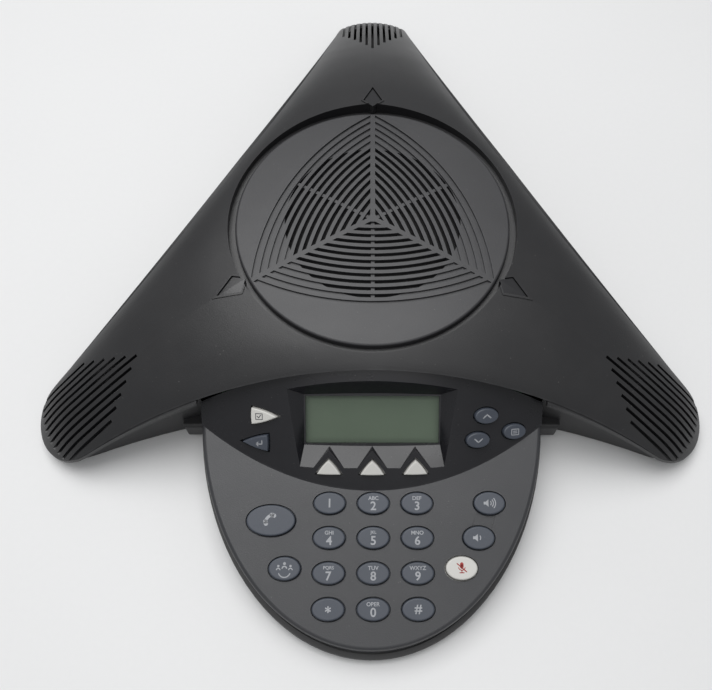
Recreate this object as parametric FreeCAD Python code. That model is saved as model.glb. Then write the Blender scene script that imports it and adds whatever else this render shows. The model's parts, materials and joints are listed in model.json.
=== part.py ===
"""Conference speakerphone: a three-armed casing round a speaker, with a keypad console in front."""
import FreeCAD, Part
import math
import os

Vec = FreeCAD.Vector
ORIGIN = Vec(0, 0, 0)
UP = Vec(0, 0, 1)

# All sizes are in millimetres and all angles in degrees.  The model is built about the speaker's
# axis: X to the right, Y away from the user, Z up from the table.

# ---- three-armed body, in plan
ARM_REACH = 158.4          # speaker axis to the centre of an arm's round tip
TIP_RADIUS = 19.7          # round end of an arm
WAIST = 72.8               # speaker axis to the middle of a hollow side
# ---- top shell
LIP_TOP = 57.0             # height of the shell's edge at the middle of a side
LIP_TIP = 6.0              # height of the shell's edge at the end of an arm
LIP_CURVE = 1.87           # how suddenly the edge drops towards the end of an arm
EDGE_RISE = 5.4            # height of the rounded shoulder above the edge
EDGE_RUN = 9.0             # distance over which the shoulder rises
CROWN_SLOPE = 0.1          # gentle slope from the shoulder to the ridge
SHELL_WALL = 2.5
SLOT_COUNT = 11            # sound slots at an arm's end
SLOT_PITCH = 3.25
SLOT_WIDTH = 1.4
SLOT_START = 121.0         # where the middle slot begins
SLOT_STEP = 4.6            # each slot outwards begins this much later
SLOT_FLOOR = 10.0          # the slots stop at this height on the arm's nose
# ---- speaker recess and grille
GRILLE_RADIUS = 63.0
GRILLE_GAP = 3.2           # dark groove round the grille
GRILLE_RIM = 60.5          # height of the grille's edge
GRILLE_DOME = 3.0          # extra height at the grille's middle
GRILLE_PLATE = 2.2
SHELF_TOP = 57.2           # ledge that carries the grille
SHELF_PLATE = 2.0
SPOKE_REACH = 61.4
SPOKE_WIDTH = 2.2
RIB_WIDTH = 1.6
GRILLE_SLOTS = 13          # concentric slots in one sector
GRILLE_SLOT_WIDTH = 1.7
GRILLE_SLOT_PITCH = 3.35
SLOT_ARC_RADIUS = 121.0    # outermost slot of a sector
SECTOR_DEPTH = 43.0        # speaker axis to the middle of the outermost slot
OPEN_RADIUS = 40.3         # slots are cut through inside this radius
GROOVE_DEPTH = 1.0         # and are only grooves outside it
CLOTH = 0.5
# ---- status lenses
LENS_INNER = 64.6
LENS_WING = 69.0
LENS_OUTER = 78.5
LENS_HALF_WIDTH = 4.4
LENS_FIT = 0.25
LENS_SEAT = 0.8            # the lens stands this far above the speaker shelf
LENS_SUNK = 0.3            # and its top lies this far under the shell's skin
LENS_FRAME = 1.3           # raised frame round the lens
LENS_FRAME_PROUD = 0.5
# ---- loudspeaker
CONE_RADIUS = 34.0
SURROUND = 6.0             # cone's edge to the basket's step
BASKET_RADIUS = 47.0
BASKET_SHEET = 1.2
FLANGE = 2.0
CONE_DEPTH = 14.0
CONE_SHEET = 0.6
CONE_STROKE = 1.0
SPIDER_RISE = 3.0
COIL_SHEET = 0.8
MAGNET_RADIUS = 24.0
MAGNET_HEIGHT = 14.0
MAGNET_GAP_RADIUS = 11.0
MAGNET_GAP = 2.4
MAGNET_GAP_DEPTH = 9.0
SPEAKER_SCREW_EDGE = 2.9   # screw centre to the basket's edge
SHELF_SKIN = 0.5           # left above the speaker screws' blind holes
# ---- base shell
FOOT_HEIGHT = 2.5
FLOOR = 2.2
BASE_WALL = 2.2
BASE_SETBACK = 4.0         # the base's wall stands this far inside the shell's edge
LEDGE_PROUD = 1.8          # the base's ledge shows this far outside the shell's edge
LEDGE_THICK = 2.9
PART_GAP = 0.4             # seam between neighbouring casings
FRONT_LIP = 2.9            # the base shows this far in front of the keypad cover
SIDE_LIP = 1.2
SHOULDER_X = 88.0          # small blocks of the base beside the console
SHOULDER_Y = -83.6
SHOULDER_HEIGHT = 12.0
# ---- console, in plan
CONSOLE_HALF_WIDTH = 76.5
CONSOLE_LENGTH = 102.0     # from the widest line to the front
CONSOLE_BACK = -80.0       # Y of the widest line
CONSOLE_WALL = 2.4
CONSOLE_TUCK = 2.3         # how far the console runs in under the shell's edge
COVER_SKIRT = 8.0
COVER_ROUND = 1.8
# ---- keypad plane
KEYPAD_TILT = 9.0
KEYPAD_Y = -143.8          # middle of the dial keys
KEYPAD_Z = 20.0            # surface height there
KEY_PITCH_X = 19.07
KEY_PITCH_V = 14.77
# ---- bezel surface: part of a cylinder lying along the slope
BEZEL_TILT = 34.6
BEZEL_Y = -90.0
BEZEL_Z = 42.6
BEZEL_RADIUS = 236.0
BEZEL_WALL = 2.4
# ---- display
WINDOW_HALF_WIDTH = 29.5
WINDOW_HALF_HEIGHT = 10.8
WINDOW_V = -1.85
WINDOW_RIM = 0.6           # flat edge of the recess's floor round the window
RECESS_DEPTH = 7.0
MOUTH_SIDE = 42.5          # recess mouth: half width at its top
MOUTH_TOP = 15.3
MOUTH_TOP_MIDDLE = 17.1
MOUTH_BOTTOM_SIDE = 32.5   # and at its bottom
MOUTH_BOTTOM = -25.5
MOUTH_BOTTOM_MIDDLE = -21.8
TUB_WALL = 1.4
LENS_PLATE = 1.2
LCD_PLATE = 4.0
DISPLAY_BOARD_DEPTH = 15.6
DISPLAY_BOARD_LOW = -30.0
DISPLAY_WIDE_LOW = -17.0
DISPLAY_BOARD_HIGH = 14.0
# ---- keys
KEY_GAP = 0.6              # cap to hole, all round
KEY_PROUD = 1.7            # cap above its surface
KEY_TRAVEL = 1.0
KEY_FLANGE = 0.8
KEY_FLANGE_OVERLAP = 0.9   # flange beyond the hole's edge
KEY_CLEAR = 0.35
KEY_EDGE = 0.7
KEYPAD_X = 0.5             # middle column of the dial keys
DIAL_HOLE = (15.0, 10.5)
CALL_HOLE = (22.3, 14.4)
FUNCTION_HOLE = (14.8, 11.0)
SOFT_HOLE = (12.7, 7.9)
SOFT_PITCH = 19.0
SOFT_V = -21.2             # soft keys, up the bezel's slope
POINTER_HOLE = (14.0, 9.0)
SCROLL_HOLE = (12.0, 8.2)
TRIANGLE_BULGE = 0.04
PEAK_REACH = 3.4           # the soft keys' banks run up past them by this much
PEAK_SIDE = 3.0
STUB_RADIUS = 2.0
KEYPAD_STUB = 4.6          # a keypad key's stub ends this far under the surface
SADDLE_DEPTH = 0.7
SADDLE_WIDTH = 9.0
MEMBRANE = 1.0
DOME_HEIGHT = 1.0
BOARD = 1.6
BOARD_MARGIN = 6.4         # keypad board beyond the middle of the outer key rows
BOARD_SIDE = 62.0
COVER_WINDOW_X = 71.0      # half width of the cover's opening under the bezel
DISPLAY_BOARD_X = 67.5     # half widths of the display board, by the keys and by the soft keys
SOFT_BOARD_X = 26.5
# ---- main board
BOARD_POST = 2.3
BOARD_POST_X = 44.0
BOARD_POST_Y = 34.0
MAIN_BOARD_X = 54.0
MAIN_BOARD_Y = 44.0
MAIN_CHIPS = [(8, 4, 22, 22, 2.0), (-26, -10, 14, 10, 1.6), (30, 26, 12, 8, 1.6), (34, -24, 18, 12, 3.0),
              (-4, -32, 20, 6, 4.0)]
MAIN_CANS = [(-12, 28), (0, 28), (-32, 8)]
RIBBON_WIDTH = 20.0
RIBBON_THICK = 0.4
# ---- microphones
MIC_REACH = 138.0
MIC_RADIUS = 4.8
MIC_HEIGHT = 6.0
MIC_BOOT_WALL = 2.0
MIC_STAND = 4.0
# ---- fasteners, feet and the line socket
ARM_SCREW = 108.0
POST_RADIUS = 3.6
POST_SPLIT = 22.0          # height where a base post meets a shell post
SCREW_RADIUS = 1.5
SCREW_HOLE = 1.6
SCREW_HEAD = 2.7
SCREW_BITE = 8.0           # how far a casing screw reaches into its upper post
FOOT_RADIUS = 8.0
FOOT_POCKET = 1.0
FOOT_REACH = 128.0
FRONT_FOOT_Y = -160.0
JACK_SIZE = (16.0, 15.2, 13.4)
JACK_MOUTH = (12.0, 7.0)
JACK_FACE_X = -54.0
JACK_Y = 31.0
CONSOLE_POST_X = 65.0
CONSOLE_POST_Y = -103.0
FRONT_POST_Y = -175.6
LABEL = (62.0, 34.0)
LABEL_THICK = 0.3

SPEAKER_Z = SHELF_TOP - SHELF_PLATE        # the basket's flange is screwed up against the shelf
RECESS_RADIUS = GRILLE_RADIUS + GRILLE_GAP
FLOOR_TOP = FOOT_HEIGHT + FLOOR
TIP_END = ARM_REACH + TIP_RADIUS
FRONT_END = CONSOLE_LENGTH + FRONT_LIP - CONSOLE_BACK
MIDDLE_Y = (TIP_END - FRONT_END) / 2       # middle of the whole object's length


def polar(radius, angle, z=0.0):
    return Vec(radius * math.cos(math.radians(angle)), radius * math.sin(math.radians(angle)), z)


def turned(shape, angle):
    copy = shape.copy()
    copy.rotate(ORIGIN, UP, angle)
    return copy


def on_each_arm(shape):
    """The same shape on the back, left and right arm."""
    return [turned(shape, 120 * arm) for arm in range(3)]


def fused(shapes):
    shapes = list(shapes)
    return shapes[0].multiFuse(shapes[1:]) if len(shapes) > 1 else shapes[0]


def box(x0, x1, y0, y1, z0, z1):
    return Part.makeBox(x1 - x0, y1 - y0, z1 - z0, Vec(x0, y0, z0))


def post(x, y, radius, z0, z1):
    return Part.makeCylinder(radius, z1 - z0, Vec(x, y, z0))


def prism(wire, height):
    return Part.Face(wire).extrude(Vec(0, 0, height))


class Outline:
    """Closed plan curve: three hollow sides, tangent to three round arm tips."""

    def __init__(self, waist, tip_radius):
        half_width = ARM_REACH * math.cos(math.radians(30))
        rise = ARM_REACH * math.sin(math.radians(30)) - waist
        self.side_radius = (half_width ** 2 + rise ** 2 - tip_radius ** 2) / (2 * (tip_radius + rise))
        self.side_centre = waist + self.side_radius
        self.tip_radius = tip_radius
        self.tip = Vec(0, ARM_REACH, 0)
        self.side = polar(self.side_centre, 30)
        toward_tip = self.tip - self.side
        self.turn = math.degrees(math.atan2(toward_tip.y, toward_tip.x)) % 360

    def inset(self, distance):
        inner = Outline.__new__(Outline)
        inner.__dict__.update(self.__dict__)
        inner.side_radius = self.side_radius + distance
        inner.tip_radius = self.tip_radius - distance
        return inner

    def half_arm_point(self, t):
        """From the middle of a side (t=0) past the tangent point (t=1) to the arm's end (t=2)."""
        if t <= 1:
            return self.side + polar(self.side_radius, 210 + (self.turn - 210) * t)
        start = self.turn - 180
        return self.tip + polar(self.tip_radius, start + (90 - start) * (t - 1))

    def depth(self, point):
        """Distance inside the curve of a point on the right half of the back arm."""
        from_tip = point - self.tip
        angle = math.degrees(math.atan2(from_tip.y, from_tip.x))
        if angle > self.turn - 180:
            return self.tip_radius - from_tip.Length
        return (point - self.side).Length - self.side_radius

    def wire(self, z=0.0):
        edges = []
        for arm in range(3):
            spin = 120 * arm
            tip = turned_point(self.tip, spin)
            side = turned_point(self.side, spin + 120)
            start = self.turn - 180
            marks = [tip + polar(self.tip_radius, spin + a) for a in (start, 90, 180 - start)]
            edges.append(Part.Arc(*[m + Vec(0, 0, z) for m in marks]).toShape())
            ends = 210 - self.turn
            marks = [side + polar(self.side_radius, spin + 120 + 210 + a) for a in (ends, 0, -ends)]
            edges.append(Part.Arc(*[m + Vec(0, 0, z) for m in marks]).toShape())
        return Part.Wire(Part.__sortEdges__(edges))


def turned_point(point, angle):
    return FreeCAD.Rotation(UP, angle).multVec(point)


BODY = Outline(WAIST, TIP_RADIUS)


# ---------------------------------------------------------------- top shell
def lip_height(along):
    """Height of the shell's edge at a distance along the arm."""
    run = (along - WAIST / 2) / (TIP_END - WAIST / 2)
    return LIP_TOP - (LIP_TOP - LIP_TIP) * min(max(run, 0.0), 1.0) ** LIP_CURVE


def crown(depth, along):
    """Rise of the skin above the edge: a rounded shoulder, then a gentle slope to the ridge.
    The ridge's crease fades out between the status lens and the arm's tip."""
    ridge = BODY.depth(Vec(0, along, 0)) if along < ARM_REACH else TIP_RADIUS
    fade = min(max((along - LENS_OUTER) / (ARM_REACH - LENS_OUTER), 0.0), 1.0)
    fade = fade * fade * (3 - 2 * fade)
    slope = CROWN_SLOPE * (depth - fade * depth * depth / (2 * ridge))
    return slope + EDGE_RISE * (1 - math.exp(-depth / EDGE_RUN))


def skin_height(point, inward=0.0, drop=0.0):
    """Height of the skin over a point of the back arm's right half.
    inward starts the skin further in, which is how the inner skin is made."""
    depth = max(BODY.depth(point) - inward, 0.0)
    thin = inward * (1 - math.exp(-depth / 4.0))
    return lip_height(point.y) + crown(depth, point.y) - thin - drop


def skin_faces(outline, rim_radius, inward, drop, rim_z, outer_z):
    """Faces over half an arm, with the curves along the rim and along the outline.
    rim_z and outer_z, when given, add walls straight down (or up) to those heights."""
    side_steps, tip_steps, rows = 15, 8, 12
    marks = [i / side_steps for i in range(side_steps)] + [1 + i / tip_steps for i in range(tip_steps + 1)]
    side_length = outline.side_radius * math.radians(210 - outline.turn)
    tip_length = outline.tip_radius * math.radians(270 - outline.turn)
    grid = []
    for t in marks:
        run = min(t, 1) * side_length + max(t - 1, 0) * tip_length
        foot = outline.half_arm_point(t)
        rim = polar(rim_radius, 30 + 60 * run / (side_length + tip_length))
        line = []
        for row in range(rows + 1):
            reach = 1 - (1 - row / rows) ** 1.7
            point = rim + (foot - rim) * reach
            line.append(Vec(point.x, point.y, skin_height(point, inward, drop)))
        grid.append(line)
    surface = Part.BSplineSurface()
    surface.interpolate(grid)
    _, _, v0, v1 = surface.bounds()
    rim_curve, outer_curve = surface.vIso(v0), surface.vIso(v1)
    faces = [surface.toShape()]
    curves = []
    for curve, level in ((rim_curve, rim_z), (outer_curve, outer_z)):
        edge = curve.toShape()
        if level is not None:
            flat = curve.copy()
            for i in range(1, flat.NbPoles + 1):
                pole = flat.getPole(i)
                flat.setPole(i, Vec(pole.x, pole.y, level))
            flat_edge = flat.toShape()
            faces.append(Part.makeRuledSurface(edge, flat_edge))
            edge = flat_edge
        curves.append(edge)
    return faces, curves


def all_round(shapes):
    """Half-arm shapes mirrored and repeated on the three arms."""
    both = [s for shape in shapes for s in (shape, shape.mirror(ORIGIN, Vec(1, 0, 0)))]
    return [turned(s, 120 * arm) for arm in range(3) for s in both]


def ring_face(outer_edges, inner_edges):
    wires = [Part.Wire(Part.__sortEdges__(edges)) for edges in (outer_edges, inner_edges)]
    return Part.makeFace(wires, "Part::FaceMakerBullseye")


def solid_from(faces):
    shell = Part.Compound(faces)
    shell.sewShape()
    solid = Part.Solid(shell.Shells[0])
    if solid.Volume < 0:
        solid.reverse()
    return solid


def under_skin(drop, rim_radius, bottom):
    """Everything between the skin, lowered by drop, and a level bottom."""
    faces, (rim, outer) = skin_faces(BODY, rim_radius, 0.0, drop, bottom, bottom)
    return solid_from(all_round(faces) + [ring_face(all_round([outer]), all_round([rim]))])


def top_shell_skin():
    outer_faces, (outer_rim, outer_lip) = skin_faces(BODY, RECESS_RADIUS, 0.0, 0.0, SHELF_TOP, None)
    inner_outline = BODY.inset(SHELL_WALL)
    wall_radius = RECESS_RADIUS + SHELF_PLATE
    inner_faces, (inner_rim, inner_lip) = skin_faces(
        inner_outline, wall_radius, SHELL_WALL, 0.0, SPEAKER_Z, None)
    faces = all_round(outer_faces + inner_faces + [Part.makeRuledSurface(outer_lip, inner_lip)])
    opening = CONE_RADIUS + 6.0
    top_circle = [Part.makeCircle(opening, Vec(0, 0, SHELF_TOP))]
    bottom_circle = [Part.makeCircle(opening, Vec(0, 0, SPEAKER_Z))]
    faces.append(ring_face(all_round([outer_rim]), top_circle))
    faces.append(ring_face(all_round([inner_rim]), bottom_circle))
    faces.append(Part.makeCylinder(opening, SHELF_PLATE, Vec(0, 0, SPEAKER_Z)).Faces[0])
    return solid_from(faces)


def tip_slots():
    half = SLOT_COUNT // 2
    slots = []
    for k in range(-half, half + 1):
        x = k * SLOT_PITCH
        slots.append(box(x - SLOT_WIDTH / 2, x + SLOT_WIDTH / 2,
                         SLOT_START + SLOT_STEP * abs(k), TIP_END + 1, SLOT_FLOOR, LIP_TOP))
    return slots


def lens_profile(grow):
    """Kite with a blunt inner point, pointing out along the back arm."""
    points = [Vec(0, LENS_INNER - 1.3 * grow, 0), Vec(LENS_HALF_WIDTH + grow, LENS_WING, 0),
              Vec(0, LENS_OUTER + 2.2 * grow, 0), Vec(-LENS_HALF_WIDTH - grow, LENS_WING, 0)]
    return Part.makePolygon(points + points[:1])


def lens_block(grow, z0, z1):
    wire = lens_profile(grow)
    wire.translate(Vec(0, 0, z0))
    return prism(wire, z1 - z0)


def lens_seat_height():
    return SHELF_TOP + LENS_SEAT


def make_top_shell():
    shell = top_shell_skin()
    core = under_skin(SHELL_WALL / 2, GRILLE_RADIUS, 0.0)
    bottom = POST_SPLIT + PART_GAP / 2
    screw_post = post(0, ARM_SCREW, POST_RADIUS, bottom, LIP_TOP).common(core)
    window = lens_block(LENS_FIT, lens_seat_height(), LIP_TOP + 20)
    frame = lens_block(LENS_FRAME, lens_seat_height(), LIP_TOP + 20)
    frame = frame.common(under_skin(-LENS_FRAME_PROUD, GRILLE_RADIUS, 0.0))
    frame = frame.cut(post(0, 0, RECESS_RADIUS, 0, LIP_TOP + 20))
    shell = shell.fuse(on_each_arm(screw_post) + on_each_arm(frame))
    cuts = [post(0, ARM_SCREW, SCREW_HOLE, 0, POST_SPLIT + SCREW_BITE), window] + tip_slots()
    shell = shell.cut([c for cut in cuts for c in on_each_arm(cut)])
    return shell.cut(speaker_screw_places(SCREW_HOLE, SPEAKER_Z - 1, SHELF_TOP - SHELF_SKIN))


def make_status_lens():
    block = lens_block(0.0, lens_seat_height(), LIP_TOP + 20)
    return block.common(under_skin(LENS_SUNK, SPOKE_REACH, 0.0))


# ---------------------------------------------------------------- speaker grille
def dome_solid(drop):
    """Everything under the grille's domed face, lowered by drop."""
    middle = Vec(0, 0, GRILLE_RIM + GRILLE_DOME - drop)
    edge = Vec(GRILLE_RADIUS, 0, GRILLE_RIM - drop)
    radius = (GRILLE_RADIUS ** 2 + GRILLE_DOME ** 2) / (2 * GRILLE_DOME)
    half = math.asin(GRILLE_RADIUS / radius) / 2
    between = Vec(radius * math.sin(half), 0, middle.z - radius * (1 - math.cos(half)))
    floor_edge, floor_middle = Vec(GRILLE_RADIUS, 0, 0), Vec(0, 0, 0)
    edges = [Part.Arc(middle, between, edge).toShape(), Part.makeLine(edge, floor_edge),
             Part.makeLine(floor_edge, floor_middle), Part.makeLine(floor_middle, middle)]
    return Part.Face(Part.Wire(edges)).revolve(ORIGIN, UP, 360)


def sector_slots():
    """The slots of the front sector, as tall curved bars."""
    apex = Vec(0, -SPOKE_WIDTH / 2 / math.sin(math.radians(60)), 0)
    corners = [apex, apex + polar(2 * GRILLE_RADIUS, 330), apex + polar(2 * GRILLE_RADIUS, 210), apex]
    wedge = prism(Part.makePolygon(corners), LIP_TOP + 20)
    centre_y = SLOT_ARC_RADIUS - SECTOR_DEPTH
    bars = []
    for k in range(GRILLE_SLOTS):
        radius = SLOT_ARC_RADIUS - k * GRILLE_SLOT_PITCH
        ring = post(0, centre_y, radius + GRILLE_SLOT_WIDTH / 2, 0, LIP_TOP + 20)
        ring = ring.cut(post(0, centre_y, radius - GRILLE_SLOT_WIDTH / 2, 0, LIP_TOP + 20))
        bars.append(ring.common(wedge))
    return bars


def make_grille():
    dome = dome_solid(0.0)
    top_edge = [e for e in dome.Edges if abs(e.BoundBox.ZMin - GRILLE_RIM) < 0.01
                and abs(e.BoundBox.ZMax - GRILLE_RIM) < 0.01]
    plate = dome.makeFillet(GRILLE_PLATE / 2, top_edge).cut(dome_solid(GRILLE_PLATE))
    collar = post(0, 0, GRILLE_RADIUS, SHELF_TOP, GRILLE_RIM - GRILLE_PLATE / 2)
    collar = collar.cut(post(0, 0, GRILLE_RADIUS - GRILLE_PLATE, 0, GRILLE_RIM))
    plate = plate.fuse(collar)
    bars = sector_slots()
    rib = box(-RIB_WIDTH / 2, RIB_WIDTH / 2, -OPEN_RADIUS, 0, 0, LIP_TOP + 20)
    open_zone = post(0, 0, OPEN_RADIUS, 0, LIP_TOP + 20).cut(rib)
    groove_floor = dome_solid(GROOVE_DEPTH)
    cuts = []
    for bar in bars:
        cuts.append(bar.cut(groove_floor))
        opening = bar.common(open_zone)
        if opening.Solids:
            cuts.append(opening)
    return plate.cut([c for cut in cuts for c in on_each_arm(cut)])


def make_cloth():
    radius = GRILLE_RADIUS - GRILLE_PLATE - PART_GAP
    return post(0, 0, radius, SHELF_TOP, SHELF_TOP + CLOTH)


# ---------------------------------------------------------------- loudspeaker
def revolved(points):
    """Solid of revolution about the speaker's axis from a closed profile of (radius, height)."""
    corners = [Vec(r, 0, z) for r, z in points]
    return Part.Face(Part.makePolygon(corners + corners[:1])).revolve(ORIGIN, UP, 360)


def speaker_screw_places(radius, z0, z1):
    return [post(*tuple(polar(BASKET_RADIUS - SPEAKER_SCREW_EDGE, 45 + 90 * k))[:2], radius, z0, z1)
            for k in range(4)]


def speaker_levels():
    """Heights that the loudspeaker's pieces share."""
    seat = SPEAKER_Z - FLANGE - 1.6               # step under the surround's lip
    back = seat - CONE_DEPTH - SPIDER_RISE
    return seat, back


def make_basket():
    seat, back = speaker_levels()
    lip = CONE_RADIUS + SURROUND
    top = SPEAKER_Z
    inner, outer = MAGNET_GAP_RADIUS + 1.0, MAGNET_RADIUS - 2.0
    profile = [(lip, top), (BASKET_RADIUS, top), (BASKET_RADIUS, top - FLANGE), (lip + 1.4, top - FLANGE),
               (lip + 1.4, seat - BASKET_SHEET), (outer, back - BASKET_SHEET),
               (inner, back - BASKET_SHEET), (inner, back), (outer - BASKET_SHEET, back),
               (outer - BASKET_SHEET, back + SPIDER_RISE), (outer, back + SPIDER_RISE),
               (lip - 2.0, seat), (lip, seat)]
    basket = revolved(profile)
    windows = [turned(box(8, BASKET_RADIUS, -9, 9, back + SPIDER_RISE + 2, seat - 3), 90 * k + 45)
               for k in range(4)]
    holes = speaker_screw_places(SCREW_HOLE, top - FLANGE - 1, top + 1)
    return basket.cut(windows + holes)


def make_magnet():
    _, back = speaker_levels()
    top = back - BASKET_SHEET
    body = post(0, 0, MAGNET_RADIUS, top - MAGNET_HEIGHT, top)
    gap = post(0, 0, MAGNET_GAP_RADIUS, top - MAGNET_GAP_DEPTH, top + 1)
    pole = post(0, 0, MAGNET_GAP_RADIUS - MAGNET_GAP, 0, top + 1)
    return body.cut(gap.cut(pole))


def make_cone():
    seat, back = speaker_levels()
    coil_outer = MAGNET_GAP_RADIUS - MAGNET_GAP / 2 + COIL_SHEET / 2
    coil_inner = coil_outer - COIL_SHEET
    rim = seat + CONE_SHEET
    neck = rim - CONE_DEPTH + 3.0
    coil_end = back - BASKET_SHEET - MAGNET_GAP_DEPTH + CONE_STROKE + 2.0
    profile = [(CONE_RADIUS, rim), (coil_outer, neck), (coil_outer, coil_end), (coil_inner, coil_end),
               (coil_inner, neck + 1.5), (coil_inner * 0.6, neck + 4.0), (0, neck + 5.0),
               (0, neck + 5.0 + CONE_SHEET), (coil_inner * 0.7, neck + 4.0 + CONE_SHEET),
               (coil_outer + 0.5, neck + 1.2 + CONE_SHEET), (CONE_RADIUS, rim + CONE_SHEET)]
    return revolved(profile)


def make_surround():
    """Half-round rubber roll between the cone and the basket's step."""
    seat, _ = speaker_levels()
    inner = CONE_RADIUS + 0.3
    outer = CONE_RADIUS + SURROUND - 1.6
    middle, radius = (inner + outer) / 2, (outer - inner) / 2
    arcs = [(middle - radius * math.cos(a), seat + 0.6 + radius * math.sin(a))
            for a in [math.pi * k / 8 for k in range(9)]]
    thin = radius - 0.6
    back = [(middle + thin * math.cos(a), seat + 0.6 + thin * math.sin(a))
            for a in [math.pi * k / 8 for k in range(9)]]
    lip = [(CONE_RADIUS + SURROUND - 0.2, seat + 0.6), (CONE_RADIUS + SURROUND - 0.2, seat)]
    return revolved(arcs + lip + [(outer - 0.6, seat)] + back)


def make_spider():
    _, back = speaker_levels()
    z = back + SPIDER_RISE
    inner = MAGNET_GAP_RADIUS + 0.3
    outer = MAGNET_RADIUS - 2.0
    waves = 6
    steps = [inner + (outer - 1.5 - inner) * k / waves for k in range(waves + 1)]
    top = [(r, z + 0.5 + (0.8 if k % 2 else 0.0)) for k, r in enumerate(steps)]
    bottom = [(r, h - 0.5) for r, h in reversed(top)]
    return revolved(top + [(outer, z + 0.5), (outer, z)] + bottom)


def make_speaker_screws():
    screws = []
    head = SPEAKER_Z - FLANGE
    heads = speaker_screw_places(SCREW_HEAD, head - 1.8, head)
    shanks = speaker_screw_places(SCREW_RADIUS, head, SHELF_TOP - SHELF_SKIN - 0.2)
    for low, high in zip(heads, shanks):
        screws.append(low.fuse(high))
    return Part.Compound(screws)


# ---------------------------------------------------------------- console surfaces
def tilted(x, y, z, tilt):
    return FreeCAD.Placement(Vec(x, y, z), FreeCAD.Rotation(Vec(1, 0, 0), tilt))


KEYPAD_PLANE = tilted(0, KEYPAD_Y, KEYPAD_Z, KEYPAD_TILT)
BEZEL_PLANE = tilted(0, BEZEL_Y, BEZEL_Z, BEZEL_TILT)


def on_keypad(x, v):
    """Frame on the keypad's surface; v runs up the slope from the middle of the dial keys."""
    return KEYPAD_PLANE.multiply(FreeCAD.Placement(Vec(x, v, 0), FreeCAD.Rotation()))


def on_bezel(x, v):
    """Frame on the bezel's curved surface, square to it."""
    lean = math.degrees(math.asin(x / BEZEL_RADIUS))
    centre = FreeCAD.Placement(Vec(0, v, -BEZEL_RADIUS), FreeCAD.Rotation(Vec(0, 1, 0), lean))
    return BEZEL_PLANE.multiply(centre).multiply(FreeCAD.Placement(Vec(0, 0, BEZEL_RADIUS), FreeCAD.Rotation()))


def placed(shape, place):
    copy = shape.copy()
    copy.Placement = place.multiply(copy.Placement)
    return copy


def above_keypad(depth):
    """Everything above the keypad's plane lowered by depth."""
    reach = 2 * CONSOLE_LENGTH
    return placed(Part.makeBox(2 * reach, 2 * reach, reach, Vec(-reach, -reach, -depth)), KEYPAD_PLANE)


def below_keypad(depth):
    reach = 2 * CONSOLE_LENGTH
    return placed(Part.makeBox(2 * reach, 2 * reach, reach, Vec(-reach, -reach, -depth - reach)), KEYPAD_PLANE)


def below_bezel(drop):
    """Everything under the bezel's curved surface, lowered square to it by drop."""
    radius = BEZEL_RADIUS - drop
    width = CONSOLE_HALF_WIDTH + 20
    sag = math.sqrt(radius ** 2 - width ** 2) - BEZEL_RADIUS
    depth = -CONSOLE_LENGTH
    left, right = Vec(-width, 0, sag), Vec(width, 0, sag)
    edges = [Part.Arc(left, Vec(0, 0, -drop), right).toShape(),
             Part.makeLine(right, Vec(width, 0, depth)),
             Part.makeLine(Vec(width, 0, depth), Vec(-width, 0, depth)),
             Part.makeLine(Vec(-width, 0, depth), left)]
    solid = Part.Face(Part.Wire(edges)).extrude(Vec(0, 2 * CONSOLE_LENGTH, 0))
    solid.translate(Vec(0, -CONSOLE_LENGTH, 0))
    return placed(solid, BEZEL_PLANE)


def console_prism(inset, z0=0.0, z1=80.0, front=0.0, side=0.0):
    """Half an ellipse in front of straight sides that run back under the shell."""
    half_width = CONSOLE_HALF_WIDTH + side - inset
    length = CONSOLE_LENGTH + front - inset
    centre = Vec(0, CONSOLE_BACK, z0)
    nose, right = centre + Vec(0, -length, 0), centre + Vec(half_width, 0, 0)
    ellipse = Part.Ellipse(nose, right, centre)
    curve = Part.ArcOfEllipse(ellipse, -math.pi / 2, math.pi / 2).toShape()
    a, b = curve.Vertexes[0].Point, curve.Vertexes[-1].Point
    back = Vec(0, WAIST / 2, 0)
    edges = [curve, Part.makeLine(b, b + back), Part.makeLine(b + back, a + back), Part.makeLine(a + back, a)]
    return prism(Part.Wire(edges), z1 - z0)


def behind_console():
    """The part of the plan under the body that the console doesn't reach into."""
    return prism(BODY.inset(CONSOLE_TUCK).wire(), 100)


# ---------------------------------------------------------------- base shell
def arm_wedge():
    corners = [ORIGIN, polar(3 * ARM_REACH, 30), polar(3 * ARM_REACH, 150), ORIGIN]
    return prism(Part.makePolygon(corners), 100)


def lip_block(drop, level):
    """Space over (level high) or under (level low) the shell's edge line, lowered by drop, along the
    back arm."""
    steps = 24
    start, end = WAIST / 2, TIP_END
    line = [Vec(0, start + (end - start) * k / steps, 0) for k in range(steps + 1)]
    line = [Vec(0, p.y, lip_height(p.y) - drop) for p in line]
    curve = Part.BSplineCurve()
    curve.interpolate(line)
    first, last = line[0], line[-1]
    near, far = Vec(0, 0, first.z), Vec(0, last.y + 10, last.z)
    outline = [curve.toShape(), Part.makeLine(last, far), Part.makeLine(far, Vec(0, far.y, level)),
               Part.makeLine(Vec(0, far.y, level), Vec(0, 0, level)),
               Part.makeLine(Vec(0, 0, level), near), Part.makeLine(near, first)]
    block = Part.Face(Part.Wire(outline)).extrude(Vec(2 * ARM_REACH, 0, 0))
    block.translate(Vec(-ARM_REACH, 0, 0))
    return block


def console_posts():
    """Where the console's casing screws stand."""
    return [(-CONSOLE_POST_X, CONSOLE_POST_Y), (CONSOLE_POST_X, CONSOLE_POST_Y), (0.0, FRONT_POST_Y)]


def keypad_surface(y):
    return KEYPAD_Z + (y - KEYPAD_Y) * math.tan(math.radians(KEYPAD_TILT))


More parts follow.
